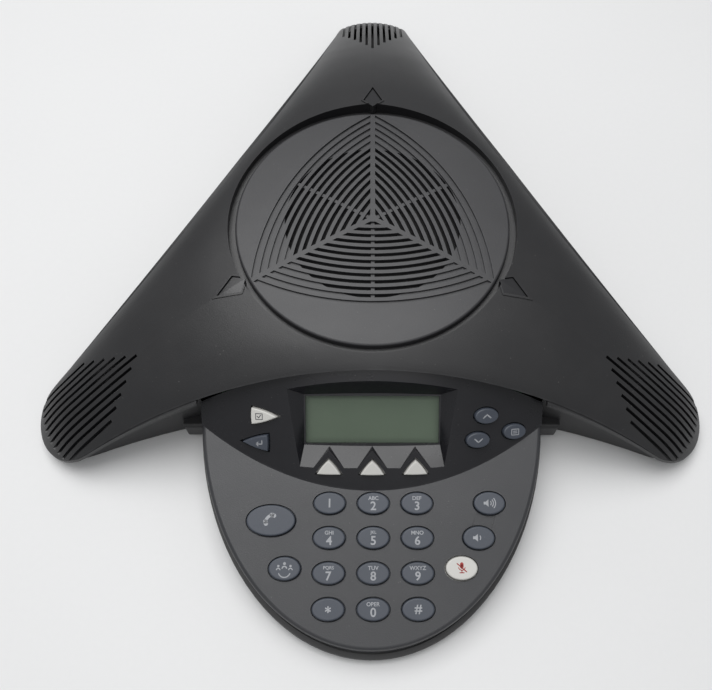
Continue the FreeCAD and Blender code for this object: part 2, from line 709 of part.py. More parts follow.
def jack_box(grow, reach):
    """Space round the line socket, lengthened outwards by reach."""
    length, width, height = JACK_SIZE
    x1 = JACK_FACE_X + length
    return box(JACK_FACE_X - reach, x1 + grow, JACK_Y - width / 2 - grow, JACK_Y + width / 2 + grow,
               board_top() - min(grow, BOARD), board_top() + height + grow)


def board_top():
    return FLOOR_TOP + BOARD_POST + BOARD


def make_base_shell():
    inner = BODY.inset(BASE_SETBACK)
    hollow = prism(inner.inset(BASE_WALL).wire(), 100)
    wedge = arm_wedge()
    above = lip_block(PART_GAP, 100)
    under_ledge = lip_block(PART_GAP + LEDGE_THICK, -50)
    wall = prism(inner.wire(FOOT_HEIGHT), LIP_TOP).cut(hollow).common(wedge).cut(above)
    ledge_outline = Outline(WAIST + LEDGE_PROUD, TIP_RADIUS)
    ledge = prism(ledge_outline.wire(FOOT_HEIGHT), LIP_TOP).cut(hollow).common(wedge)
    ledge = ledge.cut([above, under_ledge])
    arm = wall.fuse(ledge)
    recess = post(0, 0, RECESS_RADIUS + SHELF_PLATE + PART_GAP, SPEAKER_Z - PART_GAP, LIP_TOP + 20)
    body = fused(on_each_arm(arm)).cut(recess)
    skirt_top = COVER_SKIRT + PART_GAP
    body = body.cut([console_prism(BASE_WALL - SIDE_LIP, FLOOR_TOP),
                     console_prism(-PART_GAP).cut(below_keypad(skirt_top))])
    grow = {"front": FRONT_LIP, "side": SIDE_LIP}
    console = console_prism(0, FOOT_HEIGHT, **grow).cut(console_prism(BASE_WALL, FLOOR_TOP, **grow))
    console = console.cut([above_keypad(skirt_top), prism(inner.inset(BASE_WALL / 2).wire(), 100)])
    floor = prism(inner.wire(FOOT_HEIGHT), FLOOR)
    shoulder = box(CONSOLE_HALF_WIDTH, SHOULDER_X, SHOULDER_Y, CONSOLE_BACK + 8,
                   FOOT_HEIGHT, FOOT_HEIGHT + SHOULDER_HEIGHT)
    shoulder = shoulder.makeFillet(2.0, [e for e in shoulder.Edges if e.BoundBox.YMax < SHOULDER_Y + 0.1])
    shoulders = [shoulder, shoulder.mirror(ORIGIN, Vec(1, 0, 0))]
    posts = on_each_arm(post(0, ARM_SCREW, POST_RADIUS, FLOOR_TOP - 1, POST_SPLIT - PART_GAP / 2))
    posts += on_each_arm(post(0, MIC_REACH, MIC_RADIUS, FLOOR_TOP - 1, FLOOR_TOP + MIC_STAND))
    posts += [post(x, y, POST_RADIUS, FLOOR_TOP - 1, console_split(y) - PART_GAP / 2)
              for x, y in console_posts()]
    posts += [post(x, y, POST_RADIUS, FLOOR_TOP - 1, FLOOR_TOP + BOARD_POST) for x, y in board_posts()]
    board = box(-MAIN_BOARD_X - PART_GAP, MAIN_BOARD_X + PART_GAP, -MAIN_BOARD_Y, MAIN_BOARD_Y,
                0, board_top() + PART_GAP).common(prism(inner.inset(BASE_WALL + PART_GAP).wire(), 100))
    frame = jack_box(BASE_WALL + PART_GAP, WAIST).common(prism(inner.wire(), 100)).cut(board)
    body = fused([body, console, floor] + shoulders + posts + [frame])
    cuts = [jack_box(PART_GAP / 4, WAIST)]
    cuts += on_each_arm(post(0, ARM_SCREW, SCREW_HOLE, 0, POST_SPLIT + 1))
    cuts += on_each_arm(post(0, ARM_SCREW, SCREW_HEAD + PART_GAP, 0, FLOOR_TOP))
    for x, y in console_posts():
        cuts += [post(x, y, SCREW_HOLE, 0, LIP_TOP), post(x, y, SCREW_HEAD + PART_GAP, 0, FLOOR_TOP)]
    cuts += [post(x, y, FOOT_RADIUS, 0, FOOT_HEIGHT + FOOT_POCKET) for x, y in foot_places()]
    return body.cut(cuts)


def console_split(y):
    """Height where a console post of the base meets the one of the cover."""
    return (FLOOR_TOP + keypad_surface(y) - CONSOLE_WALL) / 2


def board_posts():
    return [(x, y) for x in (-BOARD_POST_X, BOARD_POST_X) for y in (-BOARD_POST_Y, BOARD_POST_Y)]


def foot_places():
    arms = [turned_point(Vec(0, FOOT_REACH, 0), 120 * arm) for arm in range(3)]
    return [(p.x, p.y) for p in arms] + [(0.0, FRONT_FOOT_Y)]


def make_feet():
    return [post(x, y, FOOT_RADIUS, 0, FOOT_HEIGHT + FOOT_POCKET) for x, y in foot_places()]


def screw(x, y, head_top, tip):
    head = post(x, y, SCREW_HEAD, head_top - 1.6, head_top)
    return head.fuse(post(x, y, SCREW_RADIUS, head_top, tip))


def make_shell_screws():
    arm = screw(0, ARM_SCREW, FLOOR_TOP, POST_SPLIT + SCREW_BITE - 1)
    console = [screw(x, y, FLOOR_TOP, keypad_surface(y) - CONSOLE_WALL - 0.6) for x, y in console_posts()]
    return Part.Compound(on_each_arm(arm) + console)


# ---------------------------------------------------------------- console cover and bezel
def make_cover():
    block = console_prism(0).cut([above_keypad(0), below_keypad(COVER_SKIRT)])
    rim = [e for e in block.Edges if e.BoundBox.YMin < CONSOLE_BACK + WAIST / 2 - 1
           and all(abs(v.Z - keypad_surface(v.Y)) < 0.01 for v in e.Vertexes)]
    outer = block.makeFillet(COVER_ROUND, rim).cut(behind_console())
    cover = outer.cut(console_prism(CONSOLE_WALL).cut(above_keypad(CONSOLE_WALL)))
    posts = [post(x, y, POST_RADIUS, console_split(y) + PART_GAP / 2, LIP_TOP) for x, y in console_posts()]
    cover = cover.fuse([p.cut(above_keypad(CONSOLE_WALL / 2)) for p in posts])
    under_bezel = box(-COVER_WINDOW_X, COVER_WINDOW_X, -2 * CONSOLE_LENGTH, 0, 0, LIP_TOP)
    cuts = [under_bezel.common(below_bezel(BEZEL_WALL)), volume_saddle()]
    for x, y in console_posts():
        cuts.append(post(x, y, SCREW_HOLE, 0, keypad_surface(y) - CONSOLE_WALL - 0.4))
    return cover.cut(cuts + [key.hole() for key in KEYS])


def volume_saddle():
    """Shallow hollow that joins the two volume keys."""
    up, down = KEY_BY_NAME["key_volume_up"], KEY_BY_NAME["key_volume_down"]
    wide = SADDLE_WIDTH / 2
    corners = [Vec(up.x - wide, up.v, 0), Vec(up.x + wide, up.v, 0),
               Vec(down.x + wide, down.v, 0), Vec(down.x - wide, down.v, 0)]
    bridge = Part.Face(Part.makePolygon(corners + corners[:1])).extrude(Vec(0, 0, 10))
    bridge.translate(Vec(0, 0, -SADDLE_DEPTH))
    return placed(bridge, KEYPAD_PLANE)


def recess_outline(side, top, top_middle, bottom_side, bottom, bottom_middle, n):
    """Four-sided outline of the display's recess at height n over the bezel's crest."""
    a, b = Vec(-side, top, n), Vec(side, top, n)
    c, d = Vec(bottom_side, bottom, n), Vec(-bottom_side, bottom, n)
    edges = [Part.Arc(a, Vec(0, top_middle, n), b).toShape(), Part.makeLine(b, c),
             Part.Arc(c, Vec(0, bottom_middle, n), d).toShape(), Part.makeLine(d, a)]
    return Part.Wire(edges)


def recess_funnel(grow, top_n, floor_n):
    """Flared space from the bezel's surface down to the display's window."""
    mouth = recess_outline(MOUTH_SIDE + grow, MOUTH_TOP + grow, MOUTH_TOP_MIDDLE + grow,
                           MOUTH_BOTTOM_SIDE + grow, MOUTH_BOTTOM - grow, MOUTH_BOTTOM_MIDDLE - grow, top_n)
    side = WINDOW_HALF_WIDTH + WINDOW_RIM + grow
    high = WINDOW_V + WINDOW_HALF_HEIGHT + WINDOW_RIM + grow
    low = WINDOW_V - WINDOW_HALF_HEIGHT - WINDOW_RIM - grow
    floor = recess_outline(side, high, high + WINDOW_RIM, side, low, low - WINDOW_RIM, floor_n)
    return Part.makeLoft([mouth, floor], True, True)


def soft_key_peaks():
    """Pointed banks that carry the soft keys up into the display's recess."""
    peaks = []
    for name in ("soft_key_left", "soft_key_middle", "soft_key_right"):
        key = KEY_BY_NAME[name]
        base = key.v - key.half_v - 2.0
        top = key.v + key.half_v + PEAK_REACH
        half = key.half_x + PEAK_SIDE
        corners = [Vec(key.x - half, base, -30), Vec(key.x + half, base, -30),
                   Vec(key.x + half, key.v - key.half_v, -30), Vec(key.x, top, -30),
                   Vec(key.x - half, key.v - key.half_v, -30)]
        peaks.append(prism(Part.makePolygon(corners + corners[:1]), 60))
    return peaks


def make_bezel():
    outer = console_prism(0, 0, 80).common(below_bezel(0))
    shell = outer.cut(console_prism(BEZEL_WALL).common(below_bezel(BEZEL_WALL)))
    tub = placed(recess_funnel(TUB_WALL, 0.0, -RECESS_DEPTH), BEZEL_PLANE)
    tub = tub.fuse(window_plate(TUB_WALL + 3 * WINDOW_RIM, RECESS_DEPTH, TUB_WALL))
    tub = tub.common(below_bezel(BEZEL_WALL / 2))
    bezel = shell.fuse(tub).cut([behind_console(), below_keypad(0)])
    funnel = recess_funnel(0.0, 0.0, -RECESS_DEPTH)
    mouth = recess_outline(MOUTH_SIDE, MOUTH_TOP, MOUTH_TOP_MIDDLE,
                           MOUTH_BOTTOM_SIDE, MOUTH_BOTTOM, MOUTH_BOTTOM_MIDDLE, 0.0)
    funnel = funnel.fuse(Part.Face(mouth).extrude(Vec(0, 0, 10))).cut(soft_key_peaks())
    window = Part.makeBox(2 * WINDOW_HALF_WIDTH, 2 * WINDOW_HALF_HEIGHT, 10,
                          Vec(-WINDOW_HALF_WIDTH, WINDOW_V - WINDOW_HALF_HEIGHT, -RECESS_DEPTH - 5))
    bezel = bezel.cut([placed(funnel, BEZEL_PLANE), placed(window, BEZEL_PLANE)])
    soft_keys = [key for key in KEYS if key.name.startswith("soft")]
    return bezel.cut([key.hole() for key in KEYS if key.on_bezel] + [key.pocket() for key in soft_keys])


def bezel_plate(half_x, v0, v1, top, thick):
    plate = Part.makeBox(2 * half_x, v1 - v0, thick, Vec(-half_x, v0, -top - thick))
    return placed(plate, BEZEL_PLANE)


def window_plate(overlap, top, thick):
    return bezel_plate(WINDOW_HALF_WIDTH + overlap, WINDOW_V - WINDOW_HALF_HEIGHT - overlap,
                       WINDOW_V + WINDOW_HALF_HEIGHT + overlap, top, thick)


# ---------------------------------------------------------------- keys
def ellipse_wire(half_x, half_v):
    if half_x >= half_v:
        curve = Part.Ellipse(ORIGIN, half_x, half_v)
    else:
        curve = Part.Ellipse(Vec(0, half_v, 0), Vec(half_x, 0, 0), ORIGIN)
    return Part.Wire(curve.toShape())


def triangle_wire(half_x, half_v, grow, heading):
    """Rounded triangle with bulging sides; heading 0 points right, 90 up the slope."""
    if heading % 180 == 0:
        length, width = half_x, half_v
    else:
        length, width = half_v, half_x
    slant = math.hypot(2 * length, width)
    point = length + grow * slant / width
    back = -length - grow
    half = width + grow * (slant + width) / (2 * length)
    bulge = TRIANGLE_BULGE * slant
    a, b, c = Vec(point, 0, 0), Vec(back, half, 0), Vec(back, -half, 0)
    upper = (a + b) / 2 + Vec(half, point - back, 0).normalize() * bulge
    lower = Vec(upper.x, -upper.y, 0)
    edges = [Part.Arc(a, upper, b).toShape(),
             Part.Arc(b, Vec(back - bulge / 2, 0, 0), c).toShape(), Part.Arc(c, lower, a).toShape()]
    wire = Part.Wire(edges)
    wire.rotate(ORIGIN, UP, heading)
    return wire


def stub_reach(x):
    """Length of a bezel key's stub below the surface, short of the display board under it."""
    lean = math.asin(x / BEZEL_RADIUS)
    sag = BEZEL_RADIUS * (1 - math.cos(lean))
    reach = (DISPLAY_BOARD_DEPTH - sag) / math.cos(lean) - STUB_RADIUS * math.tan(abs(lean))
    return reach - KEY_TRAVEL - 2 * KEY_CLEAR


class Key:
    """A key cap with the flange that keeps it in and the stub that presses the mat or the switch."""

    def __init__(self, name, x, v, half_x, half_v, bezel=False, heading=None):
        self.name, self.x, self.v = name, x, v
        self.half_x, self.half_v = half_x, half_v
        self.on_bezel, self.heading = bezel, heading
        self.place = on_bezel(x, v) if bezel else on_keypad(x, v)
        reach = half_x + 3 * KEY_FLANGE_OVERLAP
        self.wall = BEZEL_WALL + reach ** 2 / (2 * BEZEL_RADIUS) if bezel else CONSOLE_WALL
        self.stub = -stub_reach(x) if bezel else -KEYPAD_STUB

    def block(self, grow, n0, n1):
        """Prism of the hole's outline, grown, between two heights over the surface."""
        if self.heading is None:
            wire = ellipse_wire(self.half_x + grow, self.half_v + grow)
        else:
            wire = triangle_wire(self.half_x, self.half_v, grow, self.heading)
        wire.translate(Vec(0, 0, n0))
        return prism(wire, n1 - n0)

    def hole(self):
        return placed(self.block(0.0, -self.wall - 6, 6), self.place)

    def pocket(self):
        """Room for the flange on the inside of the panel."""
        return placed(self.block(KEY_FLANGE_OVERLAP + KEY_CLEAR, -self.wall - RECESS_DEPTH - 6, -self.wall),
                      self.place)

    def shape(self):
        seat = -self.wall - KEY_CLEAR
        cap = self.block(-KEY_GAP, seat - KEY_FLANGE / 2, KEY_PROUD)
        top = [e for e in cap.Edges if abs(e.BoundBox.ZMin - KEY_PROUD) < 0.01]
        cap = cap.makeFillet(KEY_EDGE, top)
        flange = self.block(KEY_FLANGE_OVERLAP, seat - KEY_FLANGE, seat)
        stub = post(0, 0, STUB_RADIUS, self.stub, seat - KEY_FLANGE / 2)
        return placed(fused([cap, flange, stub]), self.place)


def dial_keys():
    names = ["1", "2", "3", "4", "5", "6", "7", "8", "9", "star", "0", "pound"]
    keys = []
    for i, name in enumerate(names):
        row, column = divmod(i, 3)
        keys.append(Key("key_" + name, KEYPAD_X + (column - 1) * KEY_PITCH_X, (1.5 - row) * KEY_PITCH_V,
                        DIAL_HOLE[0] / 2, DIAL_HOLE[1] / 2))
    return keys


def row_v(row):
    """Height up the keypad's slope of a row, counted from the top row."""
    return (1.5 - row) * KEY_PITCH_V


def function_keys():
    half = [size / 2 for size in FUNCTION_HOLE]
    call = [size / 2 for size in CALL_HOLE]
    places = [("key_call", -43.9, row_v(0.5), call), ("key_conference", -37.4, row_v(1.87), half),
              ("key_volume_up", 51.3, row_v(0), half), ("key_volume_down", 46.2, row_v(1), half),
              ("key_mute", 38.4, row_v(1.86), half)]
    return [Key(name, x, v, size[0], size[1]) for name, x, v, size in places]


def bezel_keys():
    soft = [size / 2 for size in SOFT_HOLE]
    side = [size / 2 for size in POINTER_HOLE]
    oval = [size / 2 for size in SCROLL_HOLE]
    keys = [Key("soft_key_" + name, x, SOFT_V, soft[0], soft[1], True, 90)
            for name, x in (("left", -SOFT_PITCH), ("middle", 0.0), ("right", SOFT_PITCH))]
    keys.append(Key("key_select", -46.4, 0.4, side[0], side[1], True, 0))
    keys.append(Key("key_back", -52.0, -11.5, side[0], side[1], True, 180))
    keys.append(Key("key_scroll_up", 50.0, 0.6, oval[0], oval[1], True))
    keys.append(Key("key_scroll_down", 46.4, -10.2, oval[0], oval[1], True))
    keys.append(Key("key_menu", 63.0, -7.3, oval[0], oval[1], True))
    return keys


KEYS = dial_keys() + function_keys() + bezel_keys()
KEY_BY_NAME = {key.name: key for key in KEYS}


# ---------------------------------------------------------------- inside the console and the body
def mat_top():
    """Depth of the key mat's domes under the keypad's plane."""
    return KEYPAD_STUB + KEY_TRAVEL + KEY_CLEAR


def keypad_sheet(inset, top, thick):
    """Level sheet under the keys, parallel to the keypad's plane."""
    low, high = row_v(3) - BOARD_MARGIN, row_v(0) + BOARD_MARGIN
    sheet = Part.makeBox(2 * CONSOLE_HALF_WIDTH, high - low, thick,
                         Vec(-CONSOLE_HALF_WIDTH, low, -top - thick))
    side = box(-BOARD_SIDE, BOARD_SIDE, -2 * CONSOLE_LENGTH, 0, 0, LIP_TOP)
    return placed(sheet, KEYPAD_PLANE).common(console_prism(inset)).common(side)


def make_membrane():
    sheet = keypad_sheet(CONSOLE_WALL + 2.6, mat_top() + DOME_HEIGHT, MEMBRANE)
    domes = []
    for key in KEYS:
        if not key.on_bezel:
            dome = Part.makeCone(STUB_RADIUS + 1.6, STUB_RADIUS + 0.4, DOME_HEIGHT,
                                 Vec(0, 0, -mat_top() - DOME_HEIGHT))
            domes.append(placed(dome, key.place))
    return sheet.fuse(domes)


def make_keypad_board():
    return keypad_sheet(CONSOLE_WALL + 2.6, mat_top() + DOME_HEIGHT + MEMBRANE, BOARD)


def make_display_board():
    middle = bezel_plate(SOFT_BOARD_X, DISPLAY_BOARD_LOW, DISPLAY_BOARD_HIGH,
                         DISPLAY_BOARD_DEPTH, BOARD)
    wide = bezel_plate(DISPLAY_BOARD_X, DISPLAY_WIDE_LOW, DISPLAY_BOARD_HIGH,
                       DISPLAY_BOARD_DEPTH, BOARD)
    return middle.fuse(wide)


def make_main_board():
    z = board_top() - BOARD
    plate = box(-MAIN_BOARD_X, MAIN_BOARD_X, -MAIN_BOARD_Y, MAIN_BOARD_Y, z, z + BOARD)
    plate = plate.common(prism(BODY.inset(BASE_SETBACK + BASE_WALL + 1.0).wire(), 100))
    top = z + BOARD
    chips = [box(x - a / 2, x + a / 2, y - b / 2, y + b / 2, top - 0.2, top + h)
             for x, y, a, b, h in MAIN_CHIPS]
    cans = [post(x, y, 3.2, top - 0.2, top + 8.0) for x, y in MAIN_CANS]
    return plate.fuse(chips + cans)


def make_ribbon():
    """Flat cable from the main board to the display board."""
    start_z = board_top()
    depth = DISPLAY_BOARD_DEPTH + BOARD
    end = BEZEL_PLANE.multVec(Vec(0, DISPLAY_BOARD_LOW + 5.0, -depth))
    path = [(-MAIN_BOARD_Y + 6.0, start_z), (-MAIN_BOARD_Y - 18.0, start_z),
            (end.y + 6.0, end.z - 3.4), (end.y, end.z - 0.02)]
    thick = RIBBON_THICK
    upper = [Vec(-RIBBON_WIDTH / 2, y, z + thick) for y, z in path[:-1]]
    lower = [Vec(-RIBBON_WIDTH / 2, y, z) for y, z in path[:-1]]
    y, z = path[-1]
    tip = [Vec(-RIBBON_WIDTH / 2, y, z), Vec(-RIBBON_WIDTH / 2, y - thick, z - thick)]
    loop = lower + tip[::-1] + upper[::-1]
    return Part.Face(Part.makePolygon(loop + loop[:1])).extrude(Vec(RIBBON_WIDTH, 0, 0))


def make_jack():
    length, width, height = JACK_SIZE
    mouth_width, mouth_height = JACK_MOUTH
    z = board_top()
    body = box(JACK_FACE_X, JACK_FACE_X + length, JACK_Y - width / 2, JACK_Y + width / 2, z, z + height)
    middle = z + height / 2
    mouth = box(JACK_FACE_X - 1, JACK_FACE_X + length - 3.0, JACK_Y - mouth_width / 2,
                JACK_Y + mouth_width / 2, middle - mouth_height / 2, middle + mouth_height / 2)
    latch = box(JACK_FACE_X - 1, JACK_FACE_X + length - 3.0, JACK_Y - 3.2, JACK_Y + 3.2,
                middle + mouth_height / 2 - 1, middle + mouth_height / 2 + 1.6)
    return body.cut([mouth, latch])


def make_microphones():
    """Rubber boots and the capsules in them, on posts of the base."""
    foot = FLOOR_TOP + MIC_STAND
    boot = post(0, MIC_REACH, MIC_RADIUS + MIC_BOOT_WALL, foot, foot + MIC_HEIGHT + MIC_BOOT_WALL - 1.0)
    boot = boot.cut(post(0, MIC_REACH, MIC_RADIUS, foot + MIC_BOOT_WALL, foot + 2 * MIC_HEIGHT))
    capsule = post(0, MIC_REACH, MIC_RADIUS, foot + MIC_BOOT_WALL, foot + MIC_BOOT_WALL + MIC_HEIGHT)
    capsule = capsule.cut(post(0, MIC_REACH, 1.0, foot + MIC_BOOT_WALL + MIC_HEIGHT - 1.0, LIP_TOP))
    return on_each_arm(boot), on_each_arm(capsule)


def make_label():
    return box(-LABEL[0] / 2, LABEL[0] / 2, -LABEL[1] / 2, LABEL[1] / 2,
               FOOT_HEIGHT - LABEL_THICK, FOOT_HEIGHT)


# ---------------------------------------------------------------- the whole object
def build():
    nodes = {
        "top_shell": make_top_shell(), "base_shell": make_base_shell(),
        "console_cover": make_cover(), "display_bezel": make_bezel(),
        "speaker_grille": make_grille(), "grille_cloth": make_cloth(),
        "display_lens": window_plate(2.0, RECESS_DEPTH + TUB_WALL, LENS_PLATE),
        "lcd_panel": window_plate(3.0, RECESS_DEPTH + TUB_WALL + LENS_PLATE, LCD_PLATE),
        "display_board": make_display_board(), "keypad_board": make_keypad_board(),
        "keypad_membrane": make_membrane(), "ribbon_cable": make_ribbon(),
        "main_board": make_main_board(), "line_jack": make_jack(),
        "speaker_basket": make_basket(), "speaker_magnet": make_magnet(), "speaker_cone": make_cone(),
        "speaker_surround": make_surround(), "speaker_spider": make_spider(),
        "speaker_screws": make_speaker_screws(), "shell_screws": make_shell_screws(),
        "label_plate": make_label(),
    }
    for i, lens in enumerate(on_each_arm(make_status_lens())):
        nodes["status_lens_%d" % (i + 1)] = lens
    boots, capsules = make_microphones()
    for i in range(3):
        nodes["microphone_boot_%d" % (i + 1)] = boots[i]
        nodes["microphone_capsule_%d" % (i + 1)] = capsules[i]
    for i, foot in enumerate(make_feet()):
        nodes["foot_%d" % (i + 1)] = foot
    for key in KEYS:
        nodes[key.name] = key.shape()
    return nodes


def main():
    os.makedirs("parts", exist_ok=True)
    for name, shape in build().items():
        shape = shape.copy()
        shape.translate(Vec(0, -MIDDLE_Y, 0))
        shape.exportStep("parts/" + name + ".step")


if __name__ == "__main__":
    main()
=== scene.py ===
"""Finishes, legends and stage of the conference speakerphone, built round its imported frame."""
import json
import math

import bmesh
import bpy
from bpy.props import FloatProperty, FloatVectorProperty, IntProperty, PointerProperty
from mathutils import Matrix, Vector


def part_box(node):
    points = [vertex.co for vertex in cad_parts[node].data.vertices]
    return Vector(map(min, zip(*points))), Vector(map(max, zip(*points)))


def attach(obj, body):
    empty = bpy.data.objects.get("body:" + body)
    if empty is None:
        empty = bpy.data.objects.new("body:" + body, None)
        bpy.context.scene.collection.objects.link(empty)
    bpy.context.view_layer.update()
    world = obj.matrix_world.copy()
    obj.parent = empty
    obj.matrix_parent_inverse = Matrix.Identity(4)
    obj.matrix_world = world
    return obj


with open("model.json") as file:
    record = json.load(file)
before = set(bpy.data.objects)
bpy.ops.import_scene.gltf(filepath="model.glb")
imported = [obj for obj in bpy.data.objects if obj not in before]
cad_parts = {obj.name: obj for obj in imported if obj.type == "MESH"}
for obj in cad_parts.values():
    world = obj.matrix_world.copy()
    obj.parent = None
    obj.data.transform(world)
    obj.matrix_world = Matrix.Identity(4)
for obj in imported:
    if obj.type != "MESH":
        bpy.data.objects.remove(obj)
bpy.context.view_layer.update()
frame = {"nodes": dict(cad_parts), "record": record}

bl_info = {
    "name": "Conference speakerphone",
    "version": (1, 0, 0),
    "blender": (4, 5, 0),
    "location": "View3D > Sidebar > Speakerphone",
    "description": "Finishes, key legends and stage of a three-armed conference speakerphone",
    "category": "Object",
}

SLOT_COLOUR = {m["slot"]: tuple(m["base_color"][:3]) for m in frame["record"]["materials"]}
SLOT_OF = {part["node"]: part["material_slot"] for part in frame["record"]["subparts"]}
JOINT_OF = {joint["child"]: joint for joint in frame["record"]["behaviour"]["joints"]}

MM = 0.001
DISPLAY_SLOPE = math.radians(34.6)       # lean of the display and its recess
SCREEN_MARGIN = 0.003                    # from the end of the display panel to its dots
SCREEN_HALF_HEIGHT = 0.0108              # along the slope
FRAME_SIDE = 0.0030                      # width over which the display darkens at its sides
FRAME_END = 0.0026                       # and at its top and bottom
FRAME_DARK = 0.0004                      # where it is darkest

LEGEND_LIFT = 0.04 * MM                  # print over the key's top
RIM_DEPTH = 0.03 * MM                    # points this near a key's top belong to it
LETTER_WEIGHT = 0.018                    # thickening of the lettering, for capitals of about 0.7
DIGIT_DROP = -1.15                       # millimetres under the key's middle
LETTERS_RISE = 2.15                      # millimetres over it
STAR_SHARE = 0.75                        # height of the star against a digit
DISC_STEPS = 20
ROUND_END_STEPS = 12
ARC_STEPS = 10

CONTACT_COUNT = 6
CONTACT_PITCH = 1.02 * MM
CONTACT_RADIUS = 0.22 * MM

CAMERA_AT = (-0.0021, -0.2122, 0.3868)
CAMERA_TURN = math.radians(1.89)         # to the right of straight ahead
CAMERA_DIP = math.radians(64.91)         # below level
CAMERA_ROLL = math.radians(1.88)
CAMERA_SHIFT = (-0.0331, 0.0008)
SENSOR_WIDTH = 36.0
NEAR_CLIP = 0.01

# name, side of the square light, place; each points at the middle of the part
LIGHTS = (("ceiling", 1.3, (-0.22, 0.42, 1.5)), ("front", 1.0, (0.0, -0.75, 1.4)))
TABLE_SIDES = 64
TABLE_HUB = 0.02                         # radius of the table's middle face
TABLE_REACH = 6.0
TABLE_DROP = 0.0002                      # gap under the feet
DUST_COLOUR = (0.32, 0.31, 0.30, 1.0)

DIGITS = {"key_1": ("1", ""), "key_2": ("2", "ABC"), "key_3": ("3", "DEF"), "key_4": ("4", "GHI"),
          "key_5": ("5", "JKL"), "key_6": ("6", "MNO"), "key_7": ("7", "PQRS"), "key_8": ("8", "TUV"),
          "key_9": ("9", "WXYZ"), "key_star": ("*", ""), "key_0": ("0", "OPER"), "key_pound": ("#", "")}


# ---------------------------------------------------------------- settings
def colour_setting(name, description, default):
    """Colour property with three channels."""
    return FloatVectorProperty(name=name, description=description, default=default, size=3,
                               min=0.0, max=1.0, subtype="COLOR")


class CasingSettings(bpy.types.PropertyGroup):
    """Colours of the moulded casings"""
    shell: colour_setting("Top shell", "Colour of the three-armed top shell", (0.016, 0.016, 0.0175))
    base: colour_setting("Base", "Colour of the base under the shell", (0.015, 0.015, 0.0165))
    cover: colour_setting("Keypad cover", "Colour of the keypad's cover", (0.032, 0.033, 0.037))
    bezel: colour_setting("Bezel", "Colour of the display's bezel", (0.010, 0.010, 0.0125))
    grille: colour_setting("Grille", "Colour of the speaker grille", (0.034, 0.034, 0.037))
    lens: colour_setting("Status lens", "Colour of the three smoked status lenses", (0.022, 0.022, 0.024))
    grain: FloatProperty(name="Grain size", description="Size of one pit of the moulded grain",
                         default=0.00042, min=0.0001, max=0.002, unit="LENGTH", precision=5)
    dust: FloatProperty(name="Dust", description="Share of settled dust on faces that look up",
                        default=0.30, min=0.0, max=1.0, subtype="FACTOR")


class KeySettings(bpy.types.PropertyGroup):
    """Colours of the keys and the size of what is printed on them"""
    slate: colour_setting("Grey keys", "Colour of the slate-grey keys", (0.052, 0.061, 0.080))
    white: colour_setting("White keys", "Colour of the off-white keys", (0.62, 0.61, 0.58))
    legend: colour_setting("Legends", "Colour of the printed legends", (0.36, 0.37, 0.39))
    dark_legend: colour_setting("Dark legends", "Colour of the legends on white keys", (0.10, 0.10, 0.11))
    mute: colour_setting("Mute mark", "Colour of the struck-out microphone", (0.38, 0.035, 0.03))
    digit: FloatProperty(name="Digit height", description="Height of a digit on a dial key",
                         default=0.0038, min=0.001, max=0.008, unit="LENGTH", precision=4)
    letters: FloatProperty(name="Letter height", description="Height of the letters over a digit",
                           default=0.0017, min=0.0005, max=0.004, unit="LENGTH", precision=4)


class DisplaySettings(bpy.types.PropertyGroup):
    """Colours of the display and its window"""
    screen: colour_setting("Screen", "Colour of the switched-off display", (0.128, 0.172, 0.115))
    window: colour_setting("Window", "Tint of the window over the display", (0.20, 0.25, 0.20))
    dot: FloatProperty(name="Dot pitch", description="Distance between the display's dots",
                       default=0.00042, min=0.0001, max=0.002, unit="LENGTH", precision=5)


class StageSettings(bpy.types.PropertyGroup):
    """Table, lights and camera"""
    table: colour_setting("Table", "Colour of the table top", (0.80, 0.80, 0.80))
    room: colour_setting("Room", "Colour of the light from all round", (0.96, 0.98, 1.0))
    room_power: FloatProperty(name="Room light", description="Strength of the light from all round",
                              default=0.31, min=0.0, max=5.0)
    ceiling_power: FloatProperty(name="Ceiling light", description="Power of the wide light overhead",
                                 default=19.5, min=0.0, max=500.0, unit="POWER")
    front_power: FloatProperty(name="Front light", description="Power of the soft light over the viewer",
                               default=3.5, min=0.0, max=500.0, unit="POWER")
    focal: FloatProperty(name="Focal length", description="Focal length of the camera",
                         default=42.58, min=10.0, max=200.0, unit="CAMERA")
    rings: IntProperty(name="Table rings", description="Rings of faces in the round table top",
                       default=24, min=4, max=96)


class SpeakerphoneSettings(bpy.types.PropertyGroup):
    """All the settings of the speakerphone"""
    casing: PointerProperty(type=CasingSettings, name="Casing", description="Moulded casings")
    keys: PointerProperty(type=KeySettings, name="Keys", description="Key caps and legends")
    display: PointerProperty(type=DisplaySettings, name="Display", description="Display and window")
    stage: PointerProperty(type=StageSettings, name="Stage", description="Table, lights and camera")


# ---------------------------------------------------------------- shader node groups
def new_group(name, inputs, outputs):
    """Shader node group with (name, socket type, default) inputs and (name, socket type) outputs."""
    group = bpy.data.node_groups.new(name, "ShaderNodeTree")
    for label, kind, default in inputs:
        socket = group.interface.new_socket(label, in_out="INPUT", socket_type=kind)
        if default is not None:
            socket.default_value = default
    for label, kind in outputs:
        group.interface.new_socket(label, in_out="OUTPUT", socket_type=kind)
    return group, group.nodes.new("NodeGroupInput"), group.nodes.new("NodeGroupOutput")


def put(tree, kind, values=None, links=None, **attributes):
    """Adds a node; values set its inputs and links feed them from other sockets."""
    node = tree.nodes.new(kind)
    for key, value in attributes.items():
        setattr(node, key, value)
    for key, value in (values or {}).items():
        node.inputs[key].default_value = value
    for key, source in (links or {}).items():
        tree.links.new(source, node.inputs[key])
    return node


